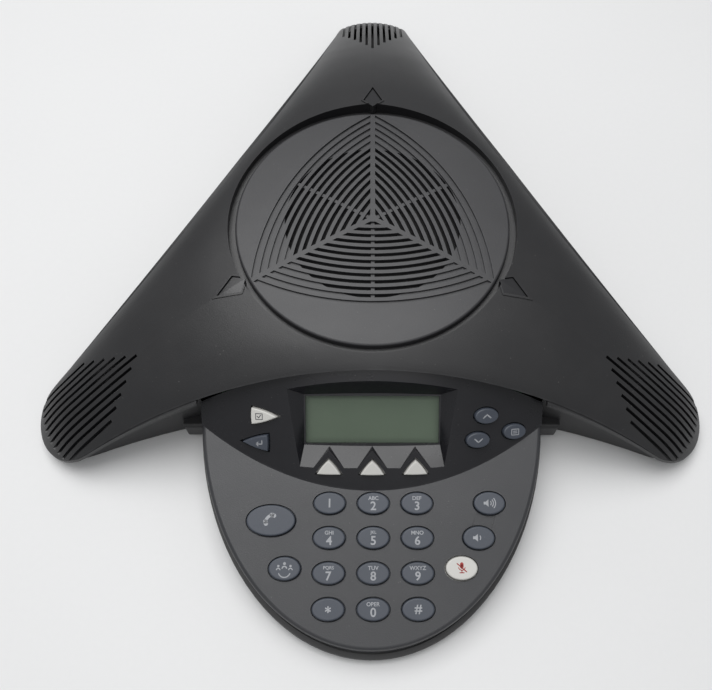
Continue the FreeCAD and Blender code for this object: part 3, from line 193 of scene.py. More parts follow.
def maths(tree, operation, a, b=None, clamp=False):
    """Arithmetic on sockets or plain numbers."""
    node = put(tree, "ShaderNodeMath", operation=operation, use_clamp=clamp)
    for i, value in enumerate((a, b)):
        if value is None:
            continue
        if isinstance(value, (int, float)):
            node.inputs[i].default_value = value
        else:
            tree.links.new(value, node.inputs[i])
    return node.outputs[0]


def blend_colour(tree, mode, factor, a, b):
    """Colour mix; factor, a and b are sockets or plain values."""
    node = put(tree, "ShaderNodeMix", data_type="RGBA", blend_type=mode)
    for name, value in (("Factor", factor), ("A", a), ("B", b)):
        sockets = [s for s in node.inputs if s.name == name and s.enabled]
        if isinstance(value, bpy.types.NodeSocket):
            tree.links.new(value, sockets[0])
        else:
            sockets[0].default_value = value
    return [s for s in node.outputs if s.enabled][0]


def ramp(tree, source, low, high):
    """0 below low, 1 above high, smooth between."""
    node = put(tree, "ShaderNodeMapRange", {"From Min": low, "From Max": high}, {"Value": source},
               interpolation_type="SMOOTHSTEP")
    return node.outputs["Result"]


def noise(tree, vector, scale, detail=3.0, rough=0.5):
    """Soft noise from 0 to 1; scale is a socket or a number."""
    values = {"Detail": detail, "Roughness": rough}
    links = {"Vector": vector}
    if isinstance(scale, bpy.types.NodeSocket):
        links["Scale"] = scale
    else:
        values["Scale"] = scale
    return put(tree, "ShaderNodeTexNoise", values, links).outputs["Fac"]


def grain_group():
    """Fine pits of a spark-eroded mould with a slow unevenness under them."""
    group, start, end = new_group("Moulded grain", [
        ("Vector", "NodeSocketVector", None), ("Size", "NodeSocketFloat", 0.0004),
        ("Pits", "NodeSocketFloat", 0.6)], [("Height", "NodeSocketFloat")])
    scale = maths(group, "DIVIDE", 1.0, start.outputs["Size"])
    fine = noise(group, start.outputs["Vector"], scale, 2.0)
    cells = put(group, "ShaderNodeTexVoronoi", {"Randomness": 1.0},
                {"Vector": start.outputs["Vector"], "Scale": scale}, feature="SMOOTH_F1")
    pits = maths(group, "MULTIPLY", cells.outputs["Distance"], start.outputs["Pits"])
    slow = maths(group, "MULTIPLY", noise(group, start.outputs["Vector"], 90.0, 2.0), 0.5)
    height = maths(group, "ADD", maths(group, "ADD", fine, pits), slow)
    group.links.new(height, end.inputs["Height"])
    return group


def mottle_group():
    """Colour that drifts a little over a few centimetres and from pit to pit."""
    group, start, end = new_group("Mottled colour", [
        ("Vector", "NodeSocketVector", None), ("Colour", "NodeSocketColor", (0.05, 0.05, 0.05, 1)),
        ("Amount", "NodeSocketFloat", 0.2), ("Scale", "NodeSocketFloat", 30.0)],
        [("Colour", "NodeSocketColor")])
    vector, scale = start.outputs["Vector"], start.outputs["Scale"]
    wide = noise(group, vector, scale, 4.0, 0.6)
    fine = noise(group, vector, maths(group, "MULTIPLY", scale, 60.0), 1.0)
    both = maths(group, "ADD", maths(group, "MULTIPLY", wide, 0.7),
                 maths(group, "MULTIPLY", fine, 0.3))
    swing = maths(group, "MULTIPLY", maths(group, "SUBTRACT", both, 0.5), start.outputs["Amount"])
    gain = maths(group, "ADD", maths(group, "MULTIPLY", swing, 2.0), 1.0)
    scaled = put(group, "ShaderNodeVectorMath", {}, {0: start.outputs["Colour"], 3: gain},
                 operation="SCALE")
    group.links.new(scaled.outputs["Vector"], end.inputs["Colour"])
    return group


def scuff_highlight_group():
    """Paler colour along the edges: partly scuffing where hands and cloths touch, partly a painted edge
    highlight.
    """
    group, start, end = new_group("Scuffed and highlit edges", [
        ("Vector", "NodeSocketVector", None), ("Colour", "NodeSocketColor", (0.05, 0.05, 0.05, 1)),
        ("Scuffed and highlit", "NodeSocketColor", (0.2, 0.2, 0.2, 1)), ("Amount", "NodeSocketFloat", 0.3)],
        [("Colour", "NodeSocketColor"), ("Mask", "NodeSocketFloat")])
    rounded = put(group, "ShaderNodeBevel", {"Radius": 0.0009}, samples=4)
    sharp = put(group, "ShaderNodeNewGeometry")
    normals = {0: rounded.outputs["Normal"], 1: sharp.outputs["Normal"]}
    dot = put(group, "ShaderNodeVectorMath", {}, normals, operation="DOT_PRODUCT").outputs["Value"]
    # edge mask: edges come out paler, partly for scuffing and partly as a painted edge highlight
    edge = ramp(group, maths(group, "SUBTRACT", 1.0, dot), 0.01, 0.16)
    patch = ramp(group, noise(group, start.outputs["Vector"], 160.0, 4.0, 0.6), 0.35, 0.7)
    mask = maths(group, "MULTIPLY", maths(group, "MULTIPLY", edge, patch), start.outputs["Amount"])
    group.links.new(blend_colour(group, "MIX", mask, start.outputs["Colour"], start.outputs["Scuffed and highlit"]),
                    end.inputs["Colour"])
    group.links.new(mask, end.inputs["Mask"])
    return group


def dust_group():
    """Pale specks and a thin film on the faces that look up."""
    group, start, end = new_group("Settled dust", [
        ("Vector", "NodeSocketVector", None), ("Colour", "NodeSocketColor", (0.05, 0.05, 0.05, 1)),
        ("Amount", "NodeSocketFloat", 0.3)],
        [("Colour", "NodeSocketColor"), ("Mask", "NodeSocketFloat")])
    facing = put(group, "ShaderNodeSeparateXYZ", {},
                 {"Vector": put(group, "ShaderNodeNewGeometry").outputs["Normal"]}).outputs["Z"]
    up = ramp(group, facing, 0.25, 0.95)
    speck = put(group, "ShaderNodeTexVoronoi", {"Scale": 420.0, "Randomness": 1.0},
                {"Vector": start.outputs["Vector"]})
    dots = maths(group, "SUBTRACT", 1.0, ramp(group, speck.outputs["Distance"], 0.05, 0.13))
    sparse = ramp(group, noise(group, start.outputs["Vector"], 110.0, 3.0), 0.5, 0.72)
    film = maths(group, "MULTIPLY", noise(group, start.outputs["Vector"], 24.0, 5.0, 0.65), 0.16)
    layer = maths(group, "ADD", maths(group, "MULTIPLY", dots, sparse), film)
    mask = maths(group, "MULTIPLY", maths(group, "MULTIPLY", layer, up), start.outputs["Amount"],
                 clamp=True)
    dusty = blend_colour(group, "MIX", mask, start.outputs["Colour"], DUST_COLOUR)
    group.links.new(dusty, end.inputs["Colour"])
    group.links.new(mask, end.inputs["Mask"])
    return group


def sheen_group():
    """Roughness that varies where the surface has been handled and wiped."""
    group, start, end = new_group("Handled sheen", [
        ("Vector", "NodeSocketVector", None), ("Roughness", "NodeSocketFloat", 0.45),
        ("Spread", "NodeSocketFloat", 0.1), ("Dust", "NodeSocketFloat", 0.0)],
        [("Roughness", "NodeSocketFloat")])
    smear = put(group, "ShaderNodeMapping", {"Scale": (26.0, 60.0, 40.0), "Rotation": (0.0, 0.0, 0.6)},
                {"Vector": start.outputs["Vector"]})
    streaks = noise(group, smear.outputs["Vector"], 1.0, 4.0, 0.6)
    swing = maths(group, "MULTIPLY", maths(group, "SUBTRACT", streaks, 0.5),
                  maths(group, "MULTIPLY", start.outputs["Spread"], 2.0))
    total = maths(group, "ADD", maths(group, "ADD", start.outputs["Roughness"], swing),
                  maths(group, "MULTIPLY", start.outputs["Dust"], 0.5), clamp=True)
    group.links.new(total, end.inputs["Roughness"])
    return group


def weave_group():
    """Over-and-under threads of a plain woven cloth."""
    group, start, end = new_group("Woven threads", [
        ("Vector", "NodeSocketVector", None), ("Pitch", "NodeSocketFloat", 0.0006)],
        [("Height", "NodeSocketFloat"), ("Mask", "NodeSocketFloat")])
    place = put(group, "ShaderNodeSeparateXYZ", {}, {"Vector": start.outputs["Vector"]})
    turn = maths(group, "DIVIDE", math.pi, start.outputs["Pitch"])
    across, along = (maths(group, "ABSOLUTE", maths(group, "SINE", maths(
        group, "MULTIPLY", place.outputs[axis], turn))) for axis in ("X", "Y"))
    height = maths(group, "MAXIMUM", across, along)
    group.links.new(height, end.inputs["Height"])
    group.links.new(ramp(group, height, 0.3, 0.9), end.inputs["Mask"])
    return group


def track_group():
    """Copper tracks and pads showing through a board's coating."""
    group, start, end = new_group("Board tracks", [
        ("Vector", "NodeSocketVector", None), ("Colour", "NodeSocketColor", (0.02, 0.13, 0.05, 1)),
        ("Track", "NodeSocketColor", (0.05, 0.22, 0.09, 1))],
        [("Colour", "NodeSocketColor"), ("Height", "NodeSocketFloat")])
    brick = put(group, "ShaderNodeTexBrick", {"Scale": 160.0, "Mortar Size": 0.06, "Brick Width": 1.3},
                {"Vector": start.outputs["Vector"]})
    pads = put(group, "ShaderNodeTexVoronoi", {"Scale": 330.0, "Randomness": 0.2},
               {"Vector": start.outputs["Vector"]})
    pad = maths(group, "SUBTRACT", 1.0, ramp(group, pads.outputs["Distance"], 0.18, 0.22))
    patch = ramp(group, noise(group, start.outputs["Vector"], 120.0), 0.5, 0.55)
    picked = maths(group, "MULTIPLY", pad, patch)
    mask = maths(group, "MAXIMUM", brick.outputs["Fac"], picked)
    group.links.new(blend_colour(group, "MIX", mask, start.outputs["Colour"], start.outputs["Track"]),
                    end.inputs["Colour"])
    group.links.new(mask, end.inputs["Height"])
    return group


GROUP_MAKERS = {"Moulded grain": grain_group, "Mottled colour": mottle_group, "Scuffed and highlit edges": scuff_highlight_group,
                "Settled dust": dust_group, "Handled sheen": sheen_group, "Woven threads": weave_group,
                "Board tracks": track_group}


def place_group(tree, name, values=None, links=None):
    """Puts a shared group in a tree, and builds it the first time."""
    group = bpy.data.node_groups.get(name) or GROUP_MAKERS[name]()
    return put(tree, "ShaderNodeGroup", values, links, node_tree=group)


# ---------------------------------------------------------------- materials
def rgba(colour):
    """Colour with full alpha."""
    return (colour[0], colour[1], colour[2], 1.0)


def blank_material(name):
    """New material with its tree, its shader and a socket for places on the object."""
    material = bpy.data.materials.new(name)
    material.use_nodes = True
    tree = material.node_tree
    shader = tree.nodes["Principled BSDF"]
    place = put(tree, "ShaderNodeTexCoord").outputs["Object"]
    return material, tree, shader, place


def bump(tree, shader, height, depth):
    """Relief of a given depth in metres."""
    node = put(tree, "ShaderNodeBump", {"Distance": depth, "Strength": 1.0}, {"Height": height})
    tree.links.new(node.outputs["Normal"], shader.inputs["Normal"])


def moulded(name, colour, roughness, grain, depth, scuff_and_highlight, dust, mottle, spread=0.08, extra=None):
    """Moulded plastic, rubber or metal: grain, drifting colour, edges lightened partly by scuffing and
    partly by a painted highlight, dust and sheen.

    grain is the size of a pit and depth its depth; spread is how far the roughness swings;
    extra sets the shader's own sockets.
    """
    material, tree, shader, place = blank_material(name)
    base = place_group(tree, "Mottled colour", {"Colour": rgba(colour), "Amount": mottle},
                       {"Vector": place})
    # paler edge colour: partly scuffing, partly a painted highlight along the edges
    scuffed_highlit_colour = [min(1.0, c * 2.6 + 0.03) for c in colour]
    scuffed_highlit = place_group(tree, "Scuffed and highlit edges", {"Scuffed and highlit": rgba(scuffed_highlit_colour), "Amount": scuff_and_highlight},
                         {"Vector": place, "Colour": base.outputs["Colour"]})
    dusty = place_group(tree, "Settled dust", {"Amount": dust},
                        {"Vector": place, "Colour": scuffed_highlit.outputs["Colour"]})
    tree.links.new(dusty.outputs["Colour"], shader.inputs["Base Color"])
    sheen = place_group(tree, "Handled sheen", {"Roughness": roughness, "Spread": spread},
                        {"Vector": place, "Dust": dusty.outputs["Mask"]})
    tree.links.new(sheen.outputs["Roughness"], shader.inputs["Roughness"])
    pits = place_group(tree, "Moulded grain", {"Size": grain}, {"Vector": place})
    bump(tree, shader, pits.outputs["Height"], depth)
    for socket, value in (extra or {}).items():
        shader.inputs[socket].default_value = value
    return material


def cloth_material(name, colour, pitch):
    """Woven cloth or felted paper with dust between its threads."""
    material, tree, shader, place = blank_material(name)
    threads = place_group(tree, "Woven threads", {"Pitch": pitch}, {"Vector": place})
    hollow = [c * 0.3 for c in colour]
    lit = blend_colour(tree, "MIX", threads.outputs["Mask"], rgba(hollow), rgba(colour))
    dusty = place_group(tree, "Settled dust", {"Amount": 0.5}, {"Vector": place, "Colour": lit})
    tree.links.new(dusty.outputs["Colour"], shader.inputs["Base Color"])
    shader.inputs["Roughness"].default_value = 0.95
    shader.inputs["Sheen Weight"].default_value = 0.3
    bump(tree, shader, threads.outputs["Height"], 0.0001)
    return material


def board_material(name, colour):
    """Coated circuit board."""
    material, tree, shader, place = blank_material(name)
    tracks = place_group(tree, "Board tracks", {"Colour": rgba(colour)}, {"Vector": place})
    tree.links.new(tracks.outputs["Colour"], shader.inputs["Base Color"])
    sheen = place_group(tree, "Handled sheen", {"Roughness": 0.3, "Spread": 0.06}, {"Vector": place})
    tree.links.new(sheen.outputs["Roughness"], shader.inputs["Roughness"])
    bump(tree, shader, tracks.outputs["Height"], 0.00004)
    return material


def screen_material(name, colour, pitch, corner, half):
    """Switched-off display: faint dots, a darker frame and a slow unevenness of the fluid."""
    material, tree, shader, place = blank_material(name)
    slope = put(tree, "ShaderNodeMapping", {"Location": -corner}, {"Vector": place})
    level = put(tree, "ShaderNodeMapping", {"Rotation": (-DISPLAY_SLOPE, 0.0, 0.0)},
                {"Vector": slope.outputs["Vector"]})
    split = put(tree, "ShaderNodeSeparateXYZ", {}, {"Vector": level.outputs["Vector"]})
    cell = []
    for axis in ("X", "Y"):
        step = maths(tree, "FRACT", maths(tree, "DIVIDE", split.outputs[axis], pitch))
        cell.append(ramp(tree, maths(tree, "ABSOLUTE", maths(tree, "SUBTRACT", step, 0.5)), 0.36, 0.48))
    gap = maths(tree, "MAXIMUM", cell[0], cell[1])
    side = ramp(tree, maths(tree, "ABSOLUTE", split.outputs["X"]), half.x - FRAME_SIDE,
                half.x - FRAME_DARK)
    ends = ramp(tree, maths(tree, "ABSOLUTE", split.outputs["Y"]), half.y - FRAME_END,
                half.y - FRAME_DARK)
    border = maths(tree, "MULTIPLY", maths(tree, "MAXIMUM", side, ends), 0.5)
    base = place_group(tree, "Mottled colour", {"Colour": rgba(colour), "Amount": 0.22, "Scale": 55.0},
                       {"Vector": place})
    dotted = blend_colour(tree, "MULTIPLY", maths(tree, "MULTIPLY", gap, 0.35), base.outputs["Colour"],
                          (0.72, 0.75, 0.70, 1.0))
    framed = blend_colour(tree, "MULTIPLY", border, dotted, (0.35, 0.36, 0.35, 1.0))
    tree.links.new(framed, shader.inputs["Base Color"])
    sheen = place_group(tree, "Handled sheen", {"Roughness": 0.5, "Spread": 0.1}, {"Vector": place})
    tree.links.new(sheen.outputs["Roughness"], shader.inputs["Roughness"])
    bump(tree, shader, gap, 0.00001)
    return material


def window_material(name, colour):
    """Clear window; wiped smears show in its gloss."""
    material, tree, shader, place = blank_material(name)
    base = place_group(tree, "Mottled colour", {"Colour": rgba(colour), "Amount": 0.1},
                       {"Vector": place})
    tree.links.new(base.outputs["Colour"], shader.inputs["Base Color"])
    sheen = place_group(tree, "Handled sheen", {"Roughness": 0.10, "Spread": 0.05}, {"Vector": place})
    tree.links.new(sheen.outputs["Roughness"], shader.inputs["Roughness"])
    shader.inputs["Alpha"].default_value = 0.22
    shader.inputs["IOR"].default_value = 1.49
    return material


def ink_material(name, colour):
    """Printed ink, a little worn and uneven."""
    material, tree, shader, place = blank_material(name)
    base = place_group(tree, "Mottled colour", {"Colour": rgba(colour), "Amount": 0.35, "Scale": 260.0},
                       {"Vector": place})
    tree.links.new(base.outputs["Colour"], shader.inputs["Base Color"])
    sheen = place_group(tree, "Handled sheen", {"Roughness": 0.55, "Spread": 0.1}, {"Vector": place})
    tree.links.new(sheen.outputs["Roughness"], shader.inputs["Roughness"])
    pits = place_group(tree, "Moulded grain", {"Size": 0.0002}, {"Vector": place})
    bump(tree, shader, pits.outputs["Height"], 0.000006)
    return material


def dress(node, material):
    """Gives a frame node its material."""
    mesh = frame["nodes"][node].data
    mesh.materials.clear()
    mesh.materials.append(material)


def dress_all(nodes, material):
    """Gives several frame nodes one material."""
    for node in nodes:
        dress(node, material)


def nodes_in(slot):
    """Names of the nodes in a material slot."""
    return [node for node, name in SLOT_OF.items() if name == slot]


# ---------------------------------------------------------------- flat artwork
class Artwork:
    """Flat shapes drawn in millimetres, later laid on a surface."""

    def __init__(self):
        self.faces = []

    def shape(self, points):
        """Flat outline from (x, y) points."""
        self.faces.append([Vector((x, y)) for x, y in points])

    def disc(self, x, y, radius, steps=DISC_STEPS):
        """Round spot."""
        self.shape([(x + radius * math.cos(a), y + radius * math.sin(a))
                    for a in [2 * math.pi * i / steps for i in range(steps)]])

    def stroke(self, points, width):
        """Line of a given width with round ends and corners."""
        for start, end in zip(points, points[1:]):
            a, b = Vector(start), Vector(end)
            side = (b - a).orthogonal().normalized() * width / 2
            self.shape([tuple(a + side), tuple(a - side), tuple(b - side), tuple(b + side)])
        for x, y in points:
            self.disc(x, y, width / 2, ROUND_END_STEPS)

    def arc(self, x, y, radius, start, end, width):
        """Part of a ring; angles in degrees."""
        turn = [math.radians(start + (end - start) * i / ARC_STEPS) for i in range(ARC_STEPS + 1)]
        outer, inner = ([(x + reach * math.cos(a), y + reach * math.sin(a)) for a in turn]
                        for reach in (radius + width / 2, radius - width / 2))
        self.shape(outer + inner[::-1])

    def word(self, text, height, x=0.0, y=0.0):
        """Lettering whose capitals are height tall, centred on a point."""
        curve = bpy.data.curves.new("lettering", "FONT")
        curve.body = text
        curve.size = 1.0
        curve.resolution_u = 4
        curve.offset = LETTER_WEIGHT
        holder = bpy.data.objects.new("lettering", curve)
        bpy.context.scene.collection.objects.link(holder)
        bpy.context.view_layer.update()
        solved = holder.evaluated_get(bpy.context.evaluated_depsgraph_get())
        mesh = bpy.data.meshes.new_from_object(solved)
        low, high = (Vector((pick(v.co.x for v in mesh.vertices), pick(v.co.y for v in mesh.vertices)))
                     for pick in (min, max))
        scale = height / (high.y - low.y)
        centre = (low + high) / 2
        for face in mesh.polygons:
            corners = [mesh.vertices[i].co.xy for i in face.vertices]
            self.faces.append([(c - centre) * scale + Vector((x, y)) for c in corners])
        bpy.data.objects.remove(holder)
        bpy.data.curves.remove(curve)
        bpy.data.meshes.remove(mesh)

    def lay(self, name, place, lift, material):
        """Makes the artwork an object on the plane of place, lift over it."""
        mesh = bpy.data.meshes.new(name)
        work = bmesh.new()
        for face in self.faces:
            corners = [work.verts.new(place @ Vector((p.x * MM, p.y * MM, lift))) for p in face]
            new = work.faces.new(corners)
            new.normal_update()
            if new.normal.dot(place.col[2].to_3d()) < 0:
                new.normal_flip()
        work.to_mesh(mesh)
        work.free()
        mesh.materials.append(material)
        piece = bpy.data.objects.new(name, mesh)
        bpy.context.scene.collection.objects.link(piece)
        return piece


def handset(art):
    """Telephone receiver, leaning to the right."""
    art.arc(1.7, -1.7, 4.2, 108, 162, 1.3)
    art.stroke([(0.4, 2.3), (1.4, 2.0)], 1.9)
    art.stroke([(-2.3, -0.4), (-2.0, -1.4)], 1.9)


def people(art):
    """Three figures round a table."""
    for x, y, size in ((-2.6, 0.2, 0.8), (2.6, 0.2, 0.8), (0.0, 1.0, 1.0)):
        art.disc(x, y + 1.1 * size, 0.62 * size)
        art.arc(x, y - 1.0 * size, 0.95 * size, 0, 180, 0.55 * size)
    art.arc(0.0, -1.0, 2.6, 200, 340, 0.45)


def loud(waves):
    """Loudspeaker with a number of sound waves."""
    def draw(art):
        art.shape([(-2.6, -0.6), (-1.7, -0.6), (-0.5, -1.6), (-0.5, 1.6), (-1.7, 0.6), (-2.6, 0.6)])
        for i in range(waves):
            art.arc(-0.6, 0.0, 1.3 + 0.95 * i, -42, 42, 0.42)
    return draw


def struck_microphone(art):
    """Microphone with a bar across it."""
    art.stroke([(0.0, 0.5), (0.0, 1.7)], 1.5)
    art.arc(0.0, 0.6, 1.45, 190, 350, 0.35)
    art.stroke([(0.0, -0.8), (0.0, -1.9)], 0.4)
    art.stroke([(-0.9, -1.9), (0.9, -1.9)], 0.4)
    art.stroke([(-2.0, 1.9), (2.0, -1.5)], 0.45)


def chevron(sign):
    """Arrow head that points up for 1 and down for -1."""
    def draw(art):
        art.stroke([(-1.7, -0.7 * sign), (0.0, 0.8 * sign), (1.7, -0.7 * sign)], 0.55)
    return draw


def page(art):
    """Frame with two lines in it."""
    art.stroke([(-1.7, -1.3), (1.7, -1.3), (1.7, 1.3), (-1.7, 1.3), (-1.7, -1.3)], 0.35)
    art.stroke([(-0.9, 0.4), (0.9, 0.4)], 0.35)
    art.stroke([(-0.9, -0.4), (0.9, -0.4)], 0.35)


def tick(art):
    """Frame with a tick in it, left of the key's middle."""
    art.stroke([(-3.2, -1.3), (-0.2, -1.3), (-0.2, 1.3), (-3.2, 1.3), (-3.2, -1.3)], 0.35)
    art.stroke([(-2.5, 0.1), (-1.9, -0.6), (-0.9, 0.7)], 0.4)


def return_arrow(art):
    """Arrow that turns back, right of the key's middle."""
    art.stroke([(2.9, 1.1), (2.9, -0.5), (0.3, -0.5)], 0.45)
    art.stroke([(1.1, 0.3), (0.3, -0.5), (1.1, -1.3)], 0.45)


ICONS = {"key_call": handset, "key_conference": people, "key_volume_up": loud(3),
         "key_volume_down": loud(1), "key_mute": struck_microphone, "key_scroll_up": chevron(1),
         "key_scroll_down": chevron(-1), "key_menu": page, "key_select": tick, "key_back": return_arrow}


def key_place(node):
    """Frame on the flat top of a key: X across it, Y up its slope, Z out of it."""
    out = -Vector(JOINT_OF[node]["axis"]).normalized()
    across = (Vector((1, 0, 0)) - out * out.x).normalized()
    up = out.cross(across)
    points = [v.co for v in frame["nodes"][node].data.vertices]
    top = max(p.dot(out) for p in points)
    rim = [p for p in points if p.dot(out) > top - RIM_DEPTH]
    a = [p.dot(across) for p in rim]
    b = [p.dot(up) for p in rim]
    middle = across * (min(a) + max(a)) / 2 + up * (min(b) + max(b)) / 2 + out * top
    return Matrix.Translation(middle) @ Matrix((across, up, out)).transposed().to_4x4()


# ---------------------------------------------------------------- operators
class SPEAKERPHONE_OT_stage(bpy.types.Operator):
    """Places the camera, the soft lights and the pale table"""
    bl_idname = "speakerphone.stage"
    bl_label = "Stage"

    def execute(self, context):
        settings = context.scene.speakerphone.stage
        self.add_camera(context, settings)
        self.add_lights(context, settings)
        self.add_table(context, settings)
        return {"FINISHED"}

    def add_camera(self, context, settings):
        """High over the front of the console, looking down and back."""
        data = bpy.data.cameras.new("camera")
        data.lens = settings.focal
        data.sensor_width = SENSOR_WIDTH
        data.shift_x, data.shift_y = CAMERA_SHIFT
        data.clip_start = NEAR_CLIP
        camera = bpy.data.objects.new("camera", data)
        level = math.cos(CAMERA_DIP)
        ahead = Vector((math.sin(CAMERA_TURN) * level, math.cos(CAMERA_TURN) * level,
                        -math.sin(CAMERA_DIP)))
        right = Vector((math.cos(CAMERA_TURN), -math.sin(CAMERA_TURN), 0.0))
        up = right.cross(ahead)
        across = right * math.cos(CAMERA_ROLL) + up * math.sin(CAMERA_ROLL)
        upward = up * math.cos(CAMERA_ROLL) - right * math.sin(CAMERA_ROLL)
        turn = Matrix((across, upward, -ahead)).transposed().to_4x4()
        camera.matrix_world = Matrix.Translation(CAMERA_AT) @ turn
        context.scene.collection.objects.link(camera)
        context.scene.camera = camera

    def add_lights(self, context, settings):
        """Even light from the room and two wide soft lights."""
        world = bpy.data.worlds.new("room")
        world.use_nodes = True
        background = world.node_tree.nodes["Background"]
        background.inputs["Color"].default_value = rgba(settings.room)
        background.inputs["Strength"].default_value = settings.room_power
        context.scene.world = world
        context.scene.view_settings.view_transform = "Standard"
        power = {"ceiling": settings.ceiling_power, "front": settings.front_power}
        for name, size, place in LIGHTS:
            data = bpy.data.lights.new(name, "AREA")
            data.shape = "SQUARE"
            data.size = size
            data.energy = power[name]
            light = bpy.data.objects.new(name, data)
            light.location = place
            aim = Vector((0.0, 0.0, 0.0)) - Vector(place)
            light.rotation_euler = aim.to_track_quat("-Z", "Y").to_euler()
            context.scene.collection.objects.link(light)

    def add_table(self, context, settings):
        """Wide round table top whose faces grow towards its rim."""
        mesh = bpy.data.meshes.new("table")
        work = bmesh.new()
        rows = []
        for ring in range(settings.rings + 1):
            radius = TABLE_HUB + TABLE_REACH * (ring / settings.rings) ** 2
            rows.append([work.verts.new((radius * math.cos(2 * math.pi * i / TABLE_SIDES),
                                         radius * math.sin(2 * math.pi * i / TABLE_SIDES), 0.0))
                         for i in range(TABLE_SIDES)])
        work.faces.new(rows[0])
        for inner, outer in zip(rows, rows[1:]):
            for i in range(TABLE_SIDES):
                j = (i + 1) % TABLE_SIDES
                work.faces.new((inner[i], outer[i], outer[j], inner[j]))
        work.to_mesh(mesh)
        work.free()
        material, tree, shader, place = blank_material("table_top")
        base = place_group(tree, "Mottled colour",
                           {"Colour": rgba(settings.table), "Amount": 0.03, "Scale": 6.0},
                           {"Vector": place})
        tree.links.new(base.outputs["Colour"], shader.inputs["Base Color"])
        shader.inputs["Roughness"].default_value = 0.55
        mesh.materials.append(material)
        table = bpy.data.objects.new("table", mesh)
        table.location.z = -TABLE_DROP
        context.scene.collection.objects.link(table)


class SPEAKERPHONE_OT_casings(bpy.types.Operator):
    """Finishes the top shell, the base, the feet, the screws and the blank label"""
    bl_idname = "speakerphone.casings"
    bl_label = "Casings"

    def execute(self, context):
        look = context.scene.speakerphone.casing
        dress("top_shell", moulded(
            "shell_satin", look.shell, roughness=0.36, grain=look.grain, depth=0.000035, scuff_and_highlight=0.25,
            dust=look.dust, mottle=0.16, spread=0.07))
        dress("base_shell", moulded(
            "base_matt", look.base, roughness=0.46, grain=look.grain, depth=0.00004, scuff_and_highlight=0.35,
            dust=look.dust, mottle=0.2))
        rubber = moulded("foot_rubber", (0.02, 0.02, 0.02), roughness=0.8, grain=0.0006,
                         depth=0.00005, scuff_and_highlight=0.15, dust=0.4, mottle=0.3)
        dress_all([n for n in nodes_in("rubber_black") if n != "speaker_surround"], rubber)
        dress_all(nodes_in("steel"), moulded(
            "zinc_steel", (0.55, 0.55, 0.56), roughness=0.32, grain=0.0003, depth=0.00001, scuff_and_highlight=0.1,
            dust=0.1, mottle=0.1, spread=0.1, extra={"Metallic": 1.0}))
        dress("label_plate", moulded(
            "label_foil", (0.5, 0.5, 0.5), roughness=0.4, grain=0.0008, depth=0.000008, scuff_and_highlight=0.1,
            dust=0.1, mottle=0.1, spread=0.1, extra={"Metallic": 0.6}))
        return {"FINISHED"}


class SPEAKERPHONE_OT_console(bpy.types.Operator):
    """Finishes the keypad's cover and the display's bezel"""
    bl_idname = "speakerphone.console"
    bl_label = "Console"

    def execute(self, context):
        look = context.scene.speakerphone.casing
        dress("console_cover", moulded(
            "cover_satin", look.cover, roughness=0.37, grain=look.grain, depth=0.00004, scuff_and_highlight=0.3,
            dust=look.dust, mottle=0.18, spread=0.07))
        dress("display_bezel", moulded(
            "bezel_gloss", look.bezel, roughness=0.26, grain=look.grain, depth=0.000015, scuff_and_highlight=0.3,
            dust=look.dust * 0.7, mottle=0.15, spread=0.06))
        return {"FINISHED"}


class SPEAKERPHONE_OT_grille(bpy.types.Operator):
    """Finishes the speaker grille, the cloth under it and the status lenses"""
    bl_idname = "speakerphone.grille"
    bl_label = "Grille and lenses"

    def execute(self, context):
        look = context.scene.speakerphone.casing
        dress("speaker_grille", moulded(
            "grille_satin", look.grille, roughness=0.42, grain=look.grain, depth=0.00004, scuff_and_highlight=0.3,
            dust=look.dust, mottle=0.15, spread=0.06))
        dress("grille_cloth", cloth_material("acoustic_cloth", (0.012, 0.012, 0.013), pitch=0.0007))
        dress_all(nodes_in("lens_smoke"), moulded(
            "lens_smoke", look.lens, roughness=0.2, grain=0.0006, depth=0.000008, scuff_and_highlight=0.2,
            dust=look.dust * 0.6, mottle=0.1, spread=0.05))
        return {"FINISHED"}


class SPEAKERPHONE_OT_loudspeaker(bpy.types.Operator):
    """Finishes the loudspeaker's magnet, cone, spider and surround"""
    bl_idname = "speakerphone.loudspeaker"
    bl_label = "Loudspeaker"

    def execute(self, context):
        dress("speaker_magnet", moulded(
            "ferrite", (0.09, 0.09, 0.09), roughness=0.55, grain=0.0005, depth=0.00004, scuff_and_highlight=0.4,
            dust=0.1, mottle=0.3, spread=0.1, extra={"Metallic": 0.5}))
        dress_all(nodes_in("cone_paper"),
                  cloth_material("cone_paper", (0.035, 0.034, 0.033), pitch=0.0011))
        dress("speaker_surround", moulded(
            "surround_rubber", (0.02, 0.02, 0.02), roughness=0.7, grain=0.0005, depth=0.00003,
            scuff_and_highlight=0.1, dust=0.3, mottle=0.2))
        return {"FINISHED"}


class SPEAKERPHONE_OT_display(bpy.types.Operator):
    """Finishes the display and the window over it"""
    bl_idname = "speakerphone.display"
    bl_label = "Display"

    def execute(self, context):
        look = context.scene.speakerphone.display
        low, high = (Vector(corner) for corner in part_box("lcd_panel"))
        half = Vector(((high.x - low.x) / 2 - SCREEN_MARGIN, SCREEN_HALF_HEIGHT, 0.0))
        dress("lcd_panel", screen_material("screen_dots", look.screen, look.dot, (low + high) / 2,
                                           half))
        dress("display_lens", window_material("window_clear", look.window))
        return {"FINISHED"}


